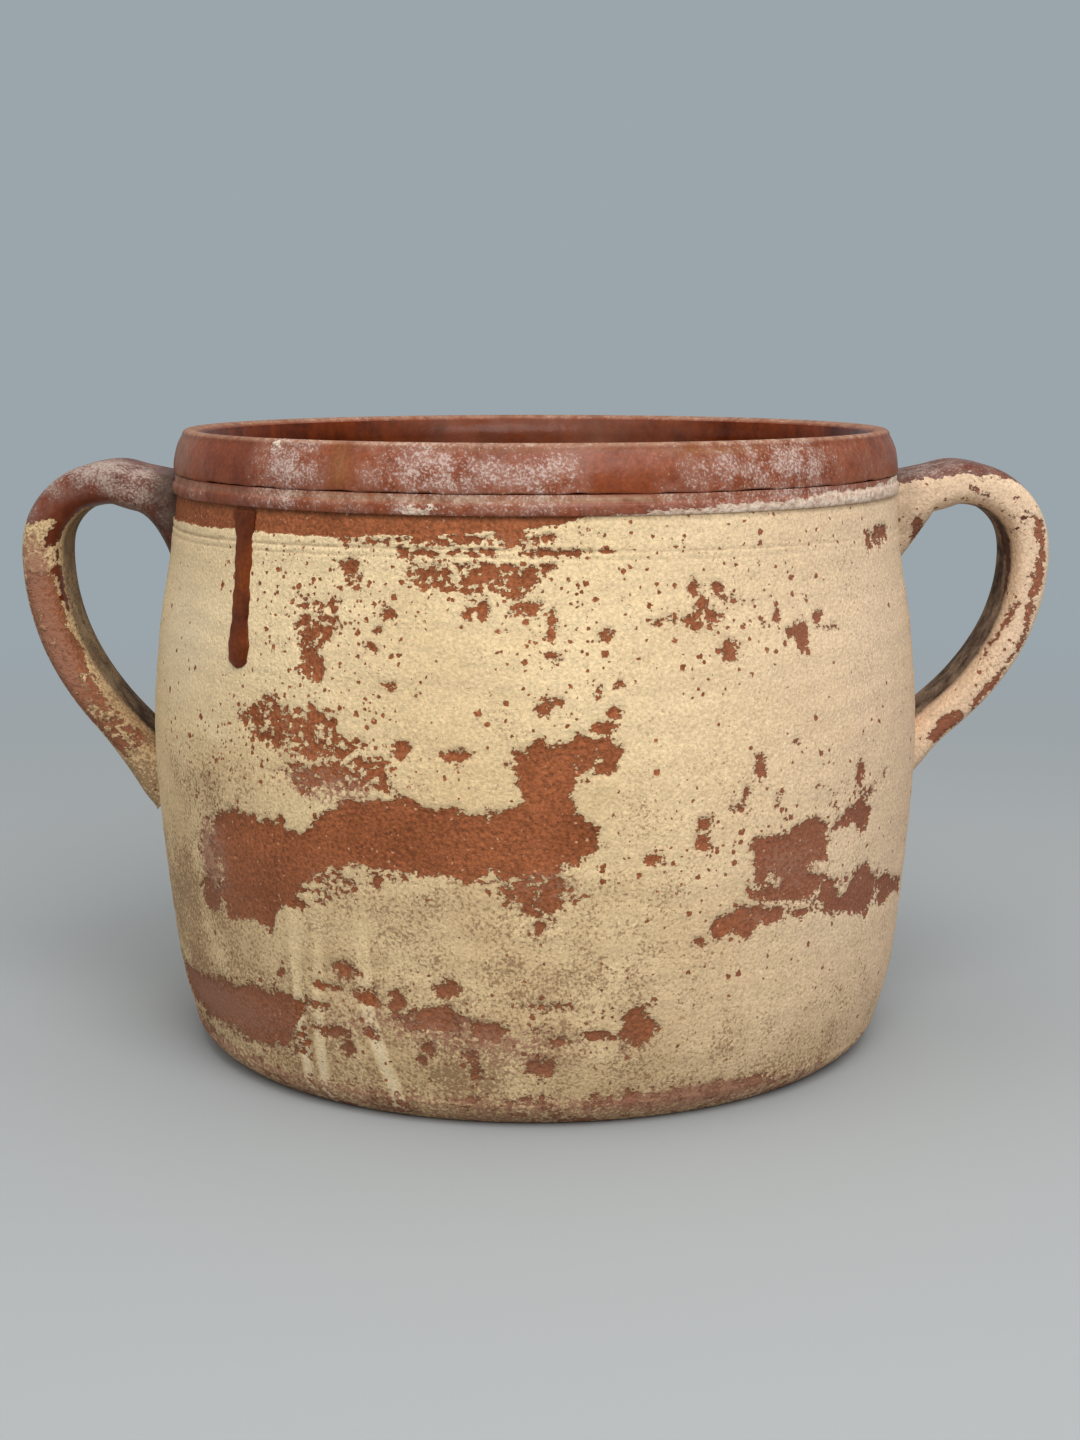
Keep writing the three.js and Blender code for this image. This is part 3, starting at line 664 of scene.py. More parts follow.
def inner_glaze(tree, place):
    """Glossy iron glaze inside the jar, with a paler painted sheen in the middle."""
    finish = glaze(tree, place, "#401503", "#702c07")
    finish["roughness"] = cloud(tree, place, 9, 0.35, 0.75, to=(0.2, 0.34))
    side = add(tree, "ShaderNodeSeparateXYZ", {0: place}, out="X")
    side = add(tree, "ShaderNodeMath", {0: side}, operation="ABSOLUTE")
    # Painted sheen: the glaze is painted paler towards the middle, in place of a soft reflection.
    painted_sheen = add(tree, "ShaderNodeMapRange", {0: side, 1: SHEEN_FROM, 2: SHEEN_FULL, 4: 0.9})
    patchy = cloud(tree, place, 30, to=(0.2, 1.0))
    painted_sheen = add(tree, "ShaderNodeMath", {0: painted_sheen, 1: patchy}, operation="MULTIPLY")
    return tint(tree, finish, painted_sheen, "#8f5b47")


def run_glaze(tree, place):
    """The run outside the jar: the same glaze, weathered duller than inside."""
    finish = glaze(tree, place, "#4a1b04", "#7d390e")
    return shade(tree, finish, cloud(tree, place, 1.3, to=(0.78, 1.22)))


# Glaze under a bloom of lime: a red-brown that looks dusty, with mauve-white clouds and soft highlights.
rim_finish = finished("bloomed_iron_glaze", rim_glaze, 0.28)
# Glaze as it came from the kiln: dark and glassy, with a clear shine.
glossy_finish = finished("glossy_iron_glaze", inner_glaze, 0.13)
# Glaze worn by weather: the same dark brown with a broken, satin shine.
run_finish = finished("weathered_iron_glaze", run_glaze, 0.15)

# %% [markdown]
# ## Where the slip has flaked off
# The bare patches are drawn as closed outlines in (angle round the jar
# in degrees, height in millimetres), the way a restorer maps damage. For every
# vertex the script works out how deep inside a patch it lies. A patch with a
# large cap is bare right through; one with a small cap is so shallow that the
# tearing noise leaves islands of slip in it.

# %% Drawn patches on the front
PATCHES = {
    # name: (cap in mm, outline)
    "belt_lobe": (1.8, ((-3.5, 134), (-2.5, 138), (0, 140), (0.5, 143), (1.5, 140), (3.5, 139), (5.5, 144),
                        (8.5, 142), (9, 143), (7, 145), (7.5, 148), (10.5, 147), (10, 142), (11, 136),
                        (10, 131), (0, 130))),
    "belt": (8.0, ((-2.5, 134), (0, 137), (4, 136), (6, 133), (7, 129), (5, 127), (4.5, 122), (6.5, 114),
                   (7.5, 111), (8, 106), (10, 105), (7.5, 103), (5.5, 98), (3.5, 100), (2.5, 96),
                   (0, 94), (-4, 95), (-6, 99), (-6.5, 95), (-8.5, 91),
                   (-10.5, 94), (-14, 94), (-17.5, 95), (-21, 96), (-27, 94), (-30.5, 91), (-34.5, 85),
                   (-35, 79), (-38.5, 72), (-39.5, 66), (-42, 68), (-47, 68), (-49.5, 66), (-50.5, 76),
                   (-49.5, 86), (-51, 93), (-50.5, 104), (-48.5, 108), (-43.5, 108), (-40, 108),
                   (-35.5, 110), (-35, 106), (-33, 104), (-30.5, 109), (-28.5, 114), (-26, 118),
                   (-21, 120), (-16.5, 121),
                   (-14, 118), (-11, 120), (-10, 117), (-7, 116), (-5, 118), (-2.5, 119), (-1.5, 122),
                   (-2.5, 127))),
    "low_left": (4.0, ((-76, 33), (-66.5, 36), (-56.5, 36), (-49, 39), (-43, 43), (-39.5, 44), (-37, 42),
                       (-35, 40), (-36, 35), (-37.5, 31), (-38.5, 24), (-43, 21), (-49, 19), (-52, 23),
                       (-61.5, 20), (-65.5, 23), (-74, 19))),
    "right_tear": (4.0, ((30, 103), (32, 104), (33, 104), (35, 103), (36.5, 105), (38.5, 107.5),
                         (41, 107.5), (41.5, 105), (44, 104), (43.5, 100), (44.5, 97.5), (44, 93),
                         (44, 90.5), (41.5, 91), (40.5, 89.5), (41, 87), (43.5, 84.5), (43.2, 81),
                         (42, 77.5), (39.5, 78.5),
                         (37.5, 80), (35, 79), (33.5, 79.5), (30.5, 80.5), (30, 85), (32, 85.5),
                         (35, 85.5),
                         (35.5, 87.5), (33, 90.5), (33, 87.5), (31, 87.5), (30.5, 92.5), (30.5, 98.5))),
    "right_lobe": (3.0, ((45, 101.5), (46.5, 105), (48, 107.5), (49.5, 109), (52, 110.5), (53.3, 106.5),
                         (54.8, 103.5), (54.3, 100), (52.5, 97.5), (51.5, 99.5), (50, 101), (48, 100.8),
                         (46.5, 100.3))),
    "right_arm": (2.2, ((43.5, 81), (44.5, 83.5), (46, 82.5), (47, 78), (48.5, 74.5), (49.5, 74.5),
                        (50, 77), (51, 78.5), (52.5, 82), (54.5, 85), (56.5, 81.5), (58.5, 76.5),
                        (58, 71.5), (57.5, 68.5), (56.5, 62.5), (54, 66.5), (50, 68.5), (47, 68.5),
                        (44.5, 69))),
    "right_tip": (1.4, ((58.5, 76), (64, 75), (74.5, 67.5), (74.5, 61.5), (67.5, 66), (65, 65), (62, 64.5),
                        (60, 69.5))),
    "right_tail": (1.8, ((28, 80.5), (30, 78), (32, 78.5), (33.5, 78.5), (35.7, 76), (35.7, 72), (33.5, 71),
                         (32.5, 72), (31, 70.5), (29.5, 67.8), (28.2, 71.5), (28.5, 76))),
    "tail_end": (1.8, ((23.8, 70.8), (25, 75.4), (26.5, 77), (28, 76), (28, 72.8), (26.5, 70.6), (25, 69))),
    "crack": (0.2, ((51.8, 110.6), (54, 112.5), (56.5, 114.5), (59, 117), (59.3, 115.4), (56.8, 112.8),
                    (54.4, 110.8), (52.4, 109))),
    "ear": (3.0, ((10, 155), (11.5, 151), (10, 149), (9, 150))),
}
print(len(PATCHES), "bare patches on the front")

# %% Lacy patches on the front
LACE = {
    # name: (share that is lost, outline)
    "band": (0.78, ((-28, 208), (-18.8, 210), (-11.8, 212), (3, 212), (3, 206), (-11, 205), (-20, 205),
                    (-28, 203.5))),
    "band_link_left": (0.85, ((-11.8, 214), (-8.6, 214), (-8.5, 205), (-11.7, 205))),
    "band_link_right": (0.85, ((-5.3, 214), (-0.9, 214), (-0.9, 204.5), (-5.2, 204.5))),
    "groove_streak": (1.1, ((-18.7, 204.4), (-8.8, 205.2), (3, 205), (12, 204.6), (12, 203.4), (3, 202.6),
                             (-8.8, 202.6), (-18.6, 202))),
    "tear_left": (0.6, ((-18.5, 201), (-18.5, 194), (-15.6, 188.5), (-12, 189), (-8.5, 188),
                        (-8.5, 201.5))),
    "tear": (0.59, ((-12, 202), (4.1, 202), (3.4, 196.5), (1.4, 193), (0.7, 188.2), (-2, 186), (-4.7, 189),
                   (-8.7, 187.5), (-11.4, 190.5))),
    "column_head": (0.62, ((-28.1, 201), (-24, 201.5), (-23.5, 191), (-26.8, 190.5), (-28, 195))),
    "column": (0.58, ((-35, 189), (-26.3, 187.5), (-27, 176), (-28.9, 169), (-29.3, 160), (-34, 158.5),
                      (-34, 168), (-35, 178))),
    "lace_core": (0.62, ((-46.5, 146), (-42, 149), (-40, 154), (-35.6, 151), (-31.3, 151.5), (-26.5, 149),
                         (-25.7, 143), (-21.6, 141), (-21.7, 136), (-26.4, 131), (-32.8, 129),
                         (-39.6, 133),
                         (-44, 136))),
    "lace_low": (0.6, ((-36.2, 131), (-29.5, 131.6), (-23.4, 136), (-19, 134), (-18, 121.5), (-24.8, 119.5),
                       (-28, 121.5), (-32.8, 117.4), (-35.3, 121))),
    "belt_fade": (0.34, ((-57, 104), (-50, 108), (-48, 100), (-48, 70), (-50, 62), (-55, 66), (-57, 85))),
    "belt_hem": (0.46, ((-38, 80), (-34, 90), (-26, 97), (-18, 98), (-14, 92), (-22, 86), (-28, 80),
                        (-34, 72))),
    "belt_skirt": (0.46, ((-10, 96), (4, 97), (8, 88), (3, 76), (-3, 80), (-8, 88))),
    "low_fade": (0.44, ((-78, 40), (-60, 41), (-44, 47), (-33, 44), (-34, 18), (-50, 15), (-78, 15))),
    "right_fray": (0.4, ((24, 70.5), (28, 80), (36, 80), (44, 84), (54, 87), (62, 80), (70, 72), (68, 64),
                         (56, 62), (48, 68), (36, 70), (29, 68))),
    "right_dust": (0.34, ((42.5, 119), (53.5, 115), (55, 108.5), (49, 106.5), (44, 107))),
    "right_mark": (0.52, ((57, 208.5), (62, 209), (68, 206), (68, 200), (63, 196.5), (57.5, 196.5))),
}
print(len(LACE), "lacy patches on the front")

# %% Single flakes on the front
FLAKES = (
    # (angle, height, half width in mm, half height in mm)
    (-26, 198, 2.2, 1.8), (-32, 173, 2.4, 2.4), (-30, 160, 2, 2.2), (-20, 182, 2.7, 2.2),
    (-21.5, 178, 1.9, 1.4), (-22, 171, 1.6, 1.4), (-19.5, 158, 1.5, 1.1), (-10.5, 136, 4.8, 2.2),
    (-10, 134, 2.2, 2.2),
    (-17.5, 137, 2.3, 2.2), (-9, 183, 1.8, 1.8), (-7, 185, 1.5, 2.2), (-27.5, 56.3, 4.9, 3.4),
    (-30.7, 49.3, 5.2, 1.6), (-32.1, 41.5, 7.5, 2.3), (-23.4, 46.7, 4.8, 2.3), (-19.6, 45.8, 3.4, 4.6),
    (-14, 41.2, 8.8, 4.6), (-18.2, 42.6, 4.5, 2), (-11.8, 52.8, 3.9, 3.7), (-29.2, 32.4, 8, 2.4),
    (-27.8, 26.6, 2.8, 3), (-23.9, 34.2, 2.6, 2), (-14.8, 30.8, 2.6, 2.8), (-16.1, 25.9, 1.7, 1.6),
    (-8.3, 22.8, 1.4, 1.8),
    (-39, 51, 2.1, 2), (-6.3, 38.2, 5.2, 2.9), (-8.9, 28.8, 2.2, 1.9), (0.5, 76.8, 2.5, 2.7),
    (1.7, 85.8, 3.6, 4), (-54, 73, 5.6, 5.4), (-2.1, 88.4, 4.6, 1.7), (3.1, 47.6, 6.4, 1.3),
    (1.8, 38.4, 6.4, 2), (2.6, 35.4, 5, 3), (0.8, 25, 6, 4.4), (8.3, 36.8, 7.6, 2),
    (14.3, 39.6, 5.6, 6.4),
    (14.5, 12, 3.3, 2.2), (22.9, 68.4, 2.1, 2), (39.8, 73.2, 4.4, 1.5),
    (22.5, 104, 3.1, 4), (15.5, 99.5, 3, 2.2), (22.5, 111.5, 2, 1.8), (27.5, 115.5, 2, 1.1),
    (34, 115.5, 1.3, 2.2), (35.5, 109.5, 1.5, 1.2), (29, 120.5, 1.6, 1.4), (31, 127.5, 1.7, 3.2),
    (51.5, 119, 2.3, 3.6), (42, 119, 1.9, 1.8), (37, 136, 1.4, 1.1), (18.5, 181, 6.4, 1.3),
    (22, 191, 1.3, 3.2), (23, 185, 1.7, 2.6), (24.5, 181, 2.2, 1.4), (28.5, 186, 3.2, 1.0),
    (25.5, 191, 1.2, 1.0),
    (22, 178, 1.6, 1.4), (27, 170, 4, 3.6), (39.5, 172, 2.9, 4.6), (38, 174, 2.7, 1.8),
    (43, 178, 2.5, 2.2),
    (35, 180, 1.3, 1.8), (32.5, 177, 1.3, 1.4), (46, 174, 2.1, 1.1), (9.5, 177, 1.8, 1.8),
    (2.3, 182, 1.4, 1.8), (2, 178, 1.4, 1.4), (2.6, 169, 1.5, 2.6), (1.7, 159, 1.8, 1.4),
    (2.7, 155, 2.6, 1.4), (1.3, 152, 1.4, 1.4), (8.5, 157, 1.5, 1.8), (11, 160, 1.5, 1.4),
    (63.5, 204, 5, 1.4),
    (-0.5, 186, 2.9, 2.2), (-2.5, 185, 1.8, 1.4),
)
print(len(FLAKES), "single flakes on the front")

# %% [markdown]
# The photograph does not show the back. It gets wear of the same kind and size
# as the front, so that the jar looks whole from every side.

# %% The unseen back
BACK_PATCHES = {
    "back_belt": (3.0, ((117, 122), (120, 131), (124, 129), (127, 138), (132, 136), (136, 131), (141, 133),
                        (145, 139), (151, 137), (155, 141), (160, 133), (166, 129), (171, 118),
                        (168, 112),
                        (163, 114), (160, 104), (154, 109), (148, 106), (143, 110), (138, 103), (133, 97),
                        (128, 101), (123, 100), (119, 107), (121, 114))),
    "back_low": (2.4, ((-160, 54), (-156, 62), (-150, 60), (-147, 67), (-140, 62), (-134, 64), (-127, 56),
                       (-121, 57), (-117, 47), (-122, 41), (-128, 43), (-133, 35), (-140, 39), (-146, 36),
                       (-151, 43), (-156, 45))),
    "back_side": (1.6, ((86, 58), (91, 66), (97, 64), (101, 70), (107, 64), (113, 61), (110, 52), (104, 45),
                        (97, 50), (91, 47))),
}
BACK_LACE = {
    "back_lace": (0.62, ((-152, 176), (-146, 186), (-138, 184), (-132, 190), (-122, 183), (-112, 171),
                         (-118, 164), (-126, 157), (-134, 163), (-143, 160))),
    "back_fray": (0.55, ((100, 60), (109, 70), (118, 74), (130, 66), (140, 64), (156, 48), (142, 44),
                         (130, 38), (106, 44))),
    "belt_fray": (0.4, ((112, 112), (118, 136), (128, 144), (156, 147), (172, 134), (178, 116), (170, 102),
                        (150, 98), (132, 90), (116, 96))),
    "low_fray": (0.4, ((-166, 58), (-152, 72), (-130, 68), (-112, 52), (-124, 32), (-150, 30))),
}
BACK_FLAKES = (
    (104, 172, 5, 3), (112, 166, 2.4, 2), (131, 186, 3.6, 2.2), (150, 168, 2.2, 3.4), (168, 180, 4.6, 2),
    (-170, 150, 3, 2.2), (-162, 112, 5, 2.8), (-146, 122, 2.6, 2), (-128, 100, 4.4, 3),
    (-112, 130, 2.2, 2.6), (-98, 78, 3.6, 2), (-104, 52, 5.4, 2.4), (96, 30, 6, 2.2),
    (124, 40, 4, 2.6), (148, 32, 7, 2.4),
    (174, 46, 3.4, 2.2), (-176, 84, 2.4, 2), (140, 76, 2.8, 2.4), (110, 92, 2, 3), (-86, 148, 1.8, 2.4),
    (162, 152, 2.4, 3), (-140, 146, 4, 2.2), (-120, 114, 2, 2.8), (-88, 110, 3, 2), (-92, 40, 6, 2.6),
    (-170, 36, 5, 3), (122, 160, 1.8, 2.2), (84, 90, 2.4, 2.8), (90, 128, 2, 1.6), (-100, 186, 2.6, 2),
)
print(len(BACK_PATCHES) + len(BACK_LACE), "patches and", len(BACK_FLAKES), "flakes on the back")

# %% [markdown]
# A painted image could hold the damage, but a drawn outline stays sharp at any
# distance and can be moved point by point. The helpers measure how far inside
# an outline each vertex lies, and the noise of the finish tears that depth.
# `mapped` adds up soft round spots, for wear that has no edge.

# %% Depth inside a patch
NOWHERE = -20.0  # millimetres outside any patch, further than a tear reaches
FLAKE_MARGIN = 1.05  # a flake reaches a little past its half sizes
FLAKE_STEEP, FLAKE_CAP = 3.0, 2.4  # millimetres: most depth to one half size, most depth in all
LACE_MARGIN, LACE_FADE = 4.5, 8  # millimetres outside the outline where lace starts, and until it is full


def depth_inside(outline, here):
    """Millimetres inside (plus) or outside (minus) a closed outline."""
    inside = np.zeros(len(here), bool)
    nearest = np.full(len(here), 1e9)
    for start, end in zip(outline, np.roll(outline, -1, 0)):
        side = end - start
        share = np.clip((here - start) @ side / (side @ side), 0, 1)
        nearest = np.minimum(nearest, np.hypot(*(here - start - share[:, None] * side).T))
        crosses = (start[1] > here[:, 1]) != (end[1] > here[:, 1])
        reach = start[0] + (here[:, 1] - start[1]) * side[0] / (side[1] if side[1] else 1e-9)
        inside ^= crosses & (here[:, 0] < reach)
    return np.where(inside, nearest, -nearest)


def flake_depth(first, second, unit, patches, flakes):
    """Deepest place in any drawn patch or flake; unit is the millimetres to one of the first number."""
    here = np.stack([first * unit, second], 1)
    deepest = np.full(len(here), NOWHERE)
    for cap, outline in patches.values():
        drawn = np.asarray(outline, float) * (unit, 1.0)
        deepest = np.maximum(deepest, np.minimum(depth_inside(drawn, here), cap))
    for at, height, wide, tall in flakes:
        off = np.hypot((here[:, 0] - at * unit) / wide, (second - height) / tall)
        deepest = np.maximum(deepest, np.clip((FLAKE_MARGIN - off) * min(wide, tall, FLAKE_STEEP),
                                              NOWHERE, FLAKE_CAP))
    return deepest


def lace_share(first, second, unit, patches):
    """Share of the slip that is lost in a lacy patch, fading over its edge."""
    here = np.stack([first * unit, second], 1)
    share = np.full(len(here), NO_LACE)
    for lost, outline in patches.values():
        drawn = np.asarray(outline, float) * (unit, 1.0)
        inside = np.clip((depth_inside(drawn, here) + LACE_MARGIN) / LACE_FADE, 0, 1)
        share = np.maximum(share, NO_LACE + (lost - NO_LACE) * inside)
    return share


def mapped(first, second, spots):
    """Sum of soft spots given as (place, place, half width, half height, strength)."""
    return sum(strong * np.exp(-((first - at) / wide) ** 2 - ((second - height) / tall) ** 2)
               for at, height, wide, tall, strong in spots)


square = np.array([(0, 0), (10, 0), (10, 10), (0, 10)], float)
print("depth in the middle of a 10 mm square:", depth_inside(square, np.array([(5.0, 5.0)]))[0], "mm")

# %% [markdown]
# ## The wall and the base
# The wall's outline runs up the outside, where the rows are close enough to
# carry the flakes, and closer still at the two turned lines under the cordon.
# It comes down the inside, which the lining hides, in a few long rows. The base
# is a slab whose heel is rubbed round; it has the same finish.

# %% Throw the wall
ROW, FINE_ROW = 1.5, 0.5  # millimetres between rows
LINES_FROM, LINES_TO, NECK = 199.5, 210.5, 216.0  # heights: fine rows for the turned lines, then the neck
NECK_ROWS = (219.0, WALL_TOP)
INSIDE_ROWS = (WALL_TOP, 190, 150, 112, 80, 56, 38, 24, HEEL_Z)
BEHIND = 0.8  # the long rows of the inside stay this far behind the lining
STILL_HEEL, STILL_NECK = 6, 10  # the wobble dies out over these millimetres at either end
BEVEL = ((-0.2, 0.0), (0.0, 0.05), (0.0, 0.17))  # tiny bevel at the lower edge
ALL_ROUND = {"Columns": 560, "Evenness": 0.72, "Material": slipped_clay}
climb = np.concatenate([np.arange(HEEL_Z, LINES_FROM, ROW), np.arange(LINES_FROM, LINES_TO, FINE_ROW),
                        np.arange(LINES_TO, NECK, ROW), NECK_ROWS])
outer = np.stack([wall_radius(climb) + SLIP_COAT, climb], 1)
edge = [outer[0] + step for step in BEVEL]
descent = np.array(INSIDE_ROWS)
inner = np.stack([wall_radius(descent) - WALL_THICKNESS + BEHIND, descent], 1)
fade = np.clip((climb - HEEL_Z) / STILL_HEEL, 0, 1) * np.clip((WALL_TOP - climb) / STILL_NECK, 0, 1)
wall = throw("jar_wall", np.vstack([edge, outer[1:], inner]), np.concatenate([[0, 0], fade, 0 * descent]),
             {**ALL_ROUND, "Wobble": 1.6 * MM, "Ridge": 0.06 * MM, "Ridge spacing": 11 * MM})

# %% Throw the base
UNDERSIDE = ((0, 0), (60, 0), (115, 0))
HEEL = ((127.6, 0.0), (129.4, 0.5), (131.4, 2.0), (133.9, 4.0), (135.7, 6.0), (136.8, 7.8), (137.38, 8.86))
SLAB_TOP = ((137.4, 8.95), (137.2, HEEL_Z), (100, HEEL_Z), (0, HEEL_Z))
slab = np.vstack([UNDERSIDE, smooth_line(HEEL, 4), SLAB_TOP])
base = throw("jar_base", slab, np.zeros(len(slab)), {**ALL_ROUND, "Wobble": 0.0, "Ridge": 0.0})

# %% [markdown]
# Besides the flakes, wall and base keep a few more numbers for each vertex: how
# much grime has settled, how thickly tiny flecks are peppered, how thin the
# slip is rubbed, and where the two turned lines run. The lines are a little
# tilted, because the pot was not quite level on the wheel. Three trickles of
# clean water once ran down the lower left and left the cream pale. Where the
# grime falls below nothing, as on the right and high on the left, the slip is
# chalky instead.

# %% Lines and spots of wear
SLIP_TOP = ((-180, 208), (-110, 207), (-74, 206.5), (-49, 207.7), (-28, 208), (-13, 209.5), (-2.4, 211.5),
            (3.4, 213.1), (6.2, 215.7), (9, 218), (70, 218), (110, 212), (180, 208))
WORN_HEEL = ((-180, 13), (-70, 15), (-40, 12), (-20, 12.5), (0, 13), (14, 13), (24, 14), (34, 12), (42, 8),
             (70, 8), (180, 13))
LINE = ((-180, 204), (-60, 203.4), (-30, 204.5), (-10, 205.2), (3, 204.6), (18, 203.9), (65, 203),
        (120, 203.5), (180, 204))
LINE_GAP, LINE_WIDTH = 2.7, 0.5
LOWER_LINE = 0.6  # share of the upper line's depth
LINE_CUT = ((-180, 0.4), (-110, 0.5), (-70, 0.8), (-10, 0.8), (12, 0.5), (60, 0.3), (110, 0.4), (180, 0.4))
CREASE, CREASE_SHADE_AND_DIRT, CREASE_WIDTH = 215.3, 0.7, 0.7  # corner under the cordon, darkened with dirt and painted shade
TRICKLES = (  # (half width, line down the wall)
    (2.6, ((-35.2, 84), (-35.7, 40), (-36.3, 9))), (2.4, ((-30.6, 80), (-32.1, 43), (-33.4, 9))),
    (3.2, ((-24.3, 88), (-24, 43), (-22.3, 24), (-20.6, 8))))
TRICKLE_START = 60  # millimetres until the water had washed a path
# Darker towards the foot: grime, and on the heel and the base's underside also painted shade.
GRIME_BY_HEIGHT = ((9, 0.85), (30, 0.75), (60, 0.6), (90, 0.4), (120, 0.15), (160, 0.02))
# Spots: (angle, height, half width, half height, strength).
PEPPERED = ((-40, 194, 7, 10, 0.5), (-28, 178, 12, 24, 0.6), (-34, 138, 16, 18, 0.6),
            (-6, 196, 15, 14, 0.6), (2, 168, 6, 22, 0.45), (30, 98, 20, 26, 0.3),
            (28, 180, 16, 18, 0.3), (-12, 40, 30, 18, 0.35),
            (-52, 116, 9, 14, 0.5), (10, 207, 40, 8, 0.25), (150, 140, 50, 60, 0.3),
            (-130, 120, 40, 60, 0.3))
GRIMY = ((4, 20, 16, 10, 0.1), (52, 60, 30, 45, -0.55), (-53, 117, 8, 13, 0.75), (-64, 62, 18, 40, 0.7),
         (-12, 26, 20, 14, 0.15), (-16, 84, 14, 8, 0.25), (4, 60, 20, 20, 0.15), (40, 12, 16, 5, 0.3),
         (-62, 168, 12, 28, -0.3), (-50, 134, 5, 8, -0.3), (-70, 96, 8, 16, -0.3))
RUBBED = ((-30, 90, 8, 5, 0.5), (2, 92, 8, 8, 0.6), (-2, 30, 16, 12, 0.55), (-56, 29, 22, 12, 0.85),
          (-52, 88, 5, 20, 0.95), (4, 150, 5, 14, 0.35), (-34, 140, 12, 14, 0.4), (-28, 122, 11, 9, 0.65),
          (37, 92, 10, 15, 0.65), (30, 74, 8, 6, 0.4), (55, 78, 12, 10, 0.5), (-4, 196, 10, 8, 0.4),
          (-20, 40, 18, 10, 0.5), (26, 10, 12, 4, 0.5), (-4, 208, 14, 5, 0.4), (120, 60, 40, 30, 0.3))
print(len(TRICKLES), "trickles,", len(PEPPERED) + len(GRIMY) + len(RUBBED), "spots of wear")

# %% Keep the wear on wall and base
DRAWN_RADIUS = 148.0  # millimetres: the wall is unrolled at this radius for drawing
TOP_STEEP, TOP_CAP = 3.0, 14  # how fast clay shows above the slip's upper edge, and how deep in all
HEEL_CAP = -0.8  # the heel stays just short of bare, so that only the tearing noise opens it
UNDERSIDE_Z, UNDERSIDE_BARE = 0.3, 6.0
SKIN = 4  # millimetres below the surface that still count as outside
FLECKED = 0.03  # share of flecks found anywhere on the wall
SINK_FROM, SINK_OVER = 9.5, 5  # no step in the joint of wall and base


def wear(piece):
    """Work out all that happened to the slip and keep it on a piece."""
    spots, angle = points_of(piece)
    z = spots[:, 2]
    unroll = math.radians(DRAWN_RADIUS)  # millimetres of wall to one degree
    flake = flake_depth(angle, z, unroll, {**PATCHES, **BACK_PATCHES}, FLAKES + BACK_FLAKES)
    above = z - np.interp(angle, *np.transpose(SLIP_TOP))
    flake = np.maximum(flake, np.clip(TOP_STEEP * above, NOWHERE, TOP_CAP))
    low = np.interp(angle, *np.transpose(WORN_HEEL)) - z
    flake = np.maximum(flake, np.minimum(low, HEEL_CAP))
    flake = np.where(z < UNDERSIDE_Z, UNDERSIDE_BARE, flake)  # the underside never had any slip
    lace = lace_share(angle, z, unroll, {**LACE, **BACK_LACE})
    grime = np.interp(z, *np.transpose(GRIME_BY_HEIGHT)) + mapped(angle, z, GRIMY)
    for half, trickle in TRICKLES:
        heights, angles = np.transpose(trickle)[::-1][:, ::-1]
        off = np.abs(angle - np.interp(z, heights, angles)) * unroll / half
        starts = np.clip((heights[-1] - z) / TRICKLE_START, 0, 1)
        tide_line = 0.2 * np.exp(-((off - 1.4) / 0.35) ** 2)
        washed = 1.15 * np.clip(2.4 - 2.0 * off, 0, 1)
        grime += starts * (tide_line - washed)
    # Along the heel the stipple is worn slip; on the base's rounded underside it is also painted shade.
    rubbed = mapped(angle, z, RUBBED) + 0.6 * np.clip(low / 4 + 0.5, 0, 1)
    line = CREASE_SHADE_AND_DIRT * np.exp(-((z - CREASE) / CREASE_WIDTH) ** 2)
    for drop, cut in ((0.0, 1.0), (LINE_GAP, LOWER_LINE)):
        off = z - np.interp(angle, *np.transpose(LINE)) + drop
        line += cut * np.interp(angle, *np.transpose(LINE_CUT)) * np.exp(-(off / LINE_WIDTH) ** 2)
    outside = np.hypot(spots[:, 0], spots[:, 1]) > wall_radius(z) - SKIN
    outside |= z < HEEL_Z - 0.01
    store(piece, flake=np.where(outside, flake, NOWHERE), lace=np.where(outside, lace, NO_LACE),
          grime=grime, rubbed=rubbed,
          pepper=np.where(outside, FLECKED + mapped(angle, z, PEPPERED), 0.0),
          line=np.where(outside, line, 0.0), sink=np.clip((z - SINK_FROM) / SINK_OVER, 0, 1))
    print(piece.name, "has lost", round(float((flake > 0).mean()), 2), "of its slip")


wear(wall)
wear(base)

# %% [markdown]
# ## The step at a flake's edge
# The slip is thinner than a millimetre, but that is enough for its edge to catch
# the light. This tree reads the same torn edge as the material and sinks the
# bare clay along the surface's normal, so shape and colour agree. It presses
# the turned lines into the wall as well.

# %% Sink the bare patches
STEP_WIDTH = 0.5  # millimetres to either side of a torn edge, over which the surface drops
flaked, given = new_tree("flaked_slip", (("Slip thickness", "NodeSocketFloat", 0.5 * MM),
                                         ("Line depth", "NodeSocketFloat", 0.45 * MM),
                                         ("Material", "NodeSocketMaterial", None)))
here = add(flaked, "GeometryNodeInputPosition")
kept = {name: add(flaked, "GeometryNodeInputNamedAttribute", {"Name": name}, data_type="FLOAT")
        for name in ("flake", "lace", "sink", "line")}
gone = beyond(flaked, loss(flaked, here, kept["flake"], kept["lace"]), STEP_WIDTH)
gone = add(flaked, "ShaderNodeMath", {0: gone, 1: kept["sink"]}, operation="MULTIPLY")
gone = add(flaked, "ShaderNodeMath", {0: gone, 1: given["Slip thickness"]}, operation="MULTIPLY")
sunk = add(flaked, "ShaderNodeMath", {0: kept["line"], 1: given["Line depth"], 2: gone},
           operation="MULTIPLY_ADD")
sunk = add(flaked, "ShaderNodeMath", {0: sunk, 1: -1.0}, operation="MULTIPLY")
normal = add(flaked, "GeometryNodeInputNormal")
step = add(flaked, "ShaderNodeVectorMath", {0: normal, "Scale": sunk}, operation="SCALE")
cloth = add(flaked, "GeometryNodeSetPosition", {"Geometry": given["Geometry"], "Offset": step})
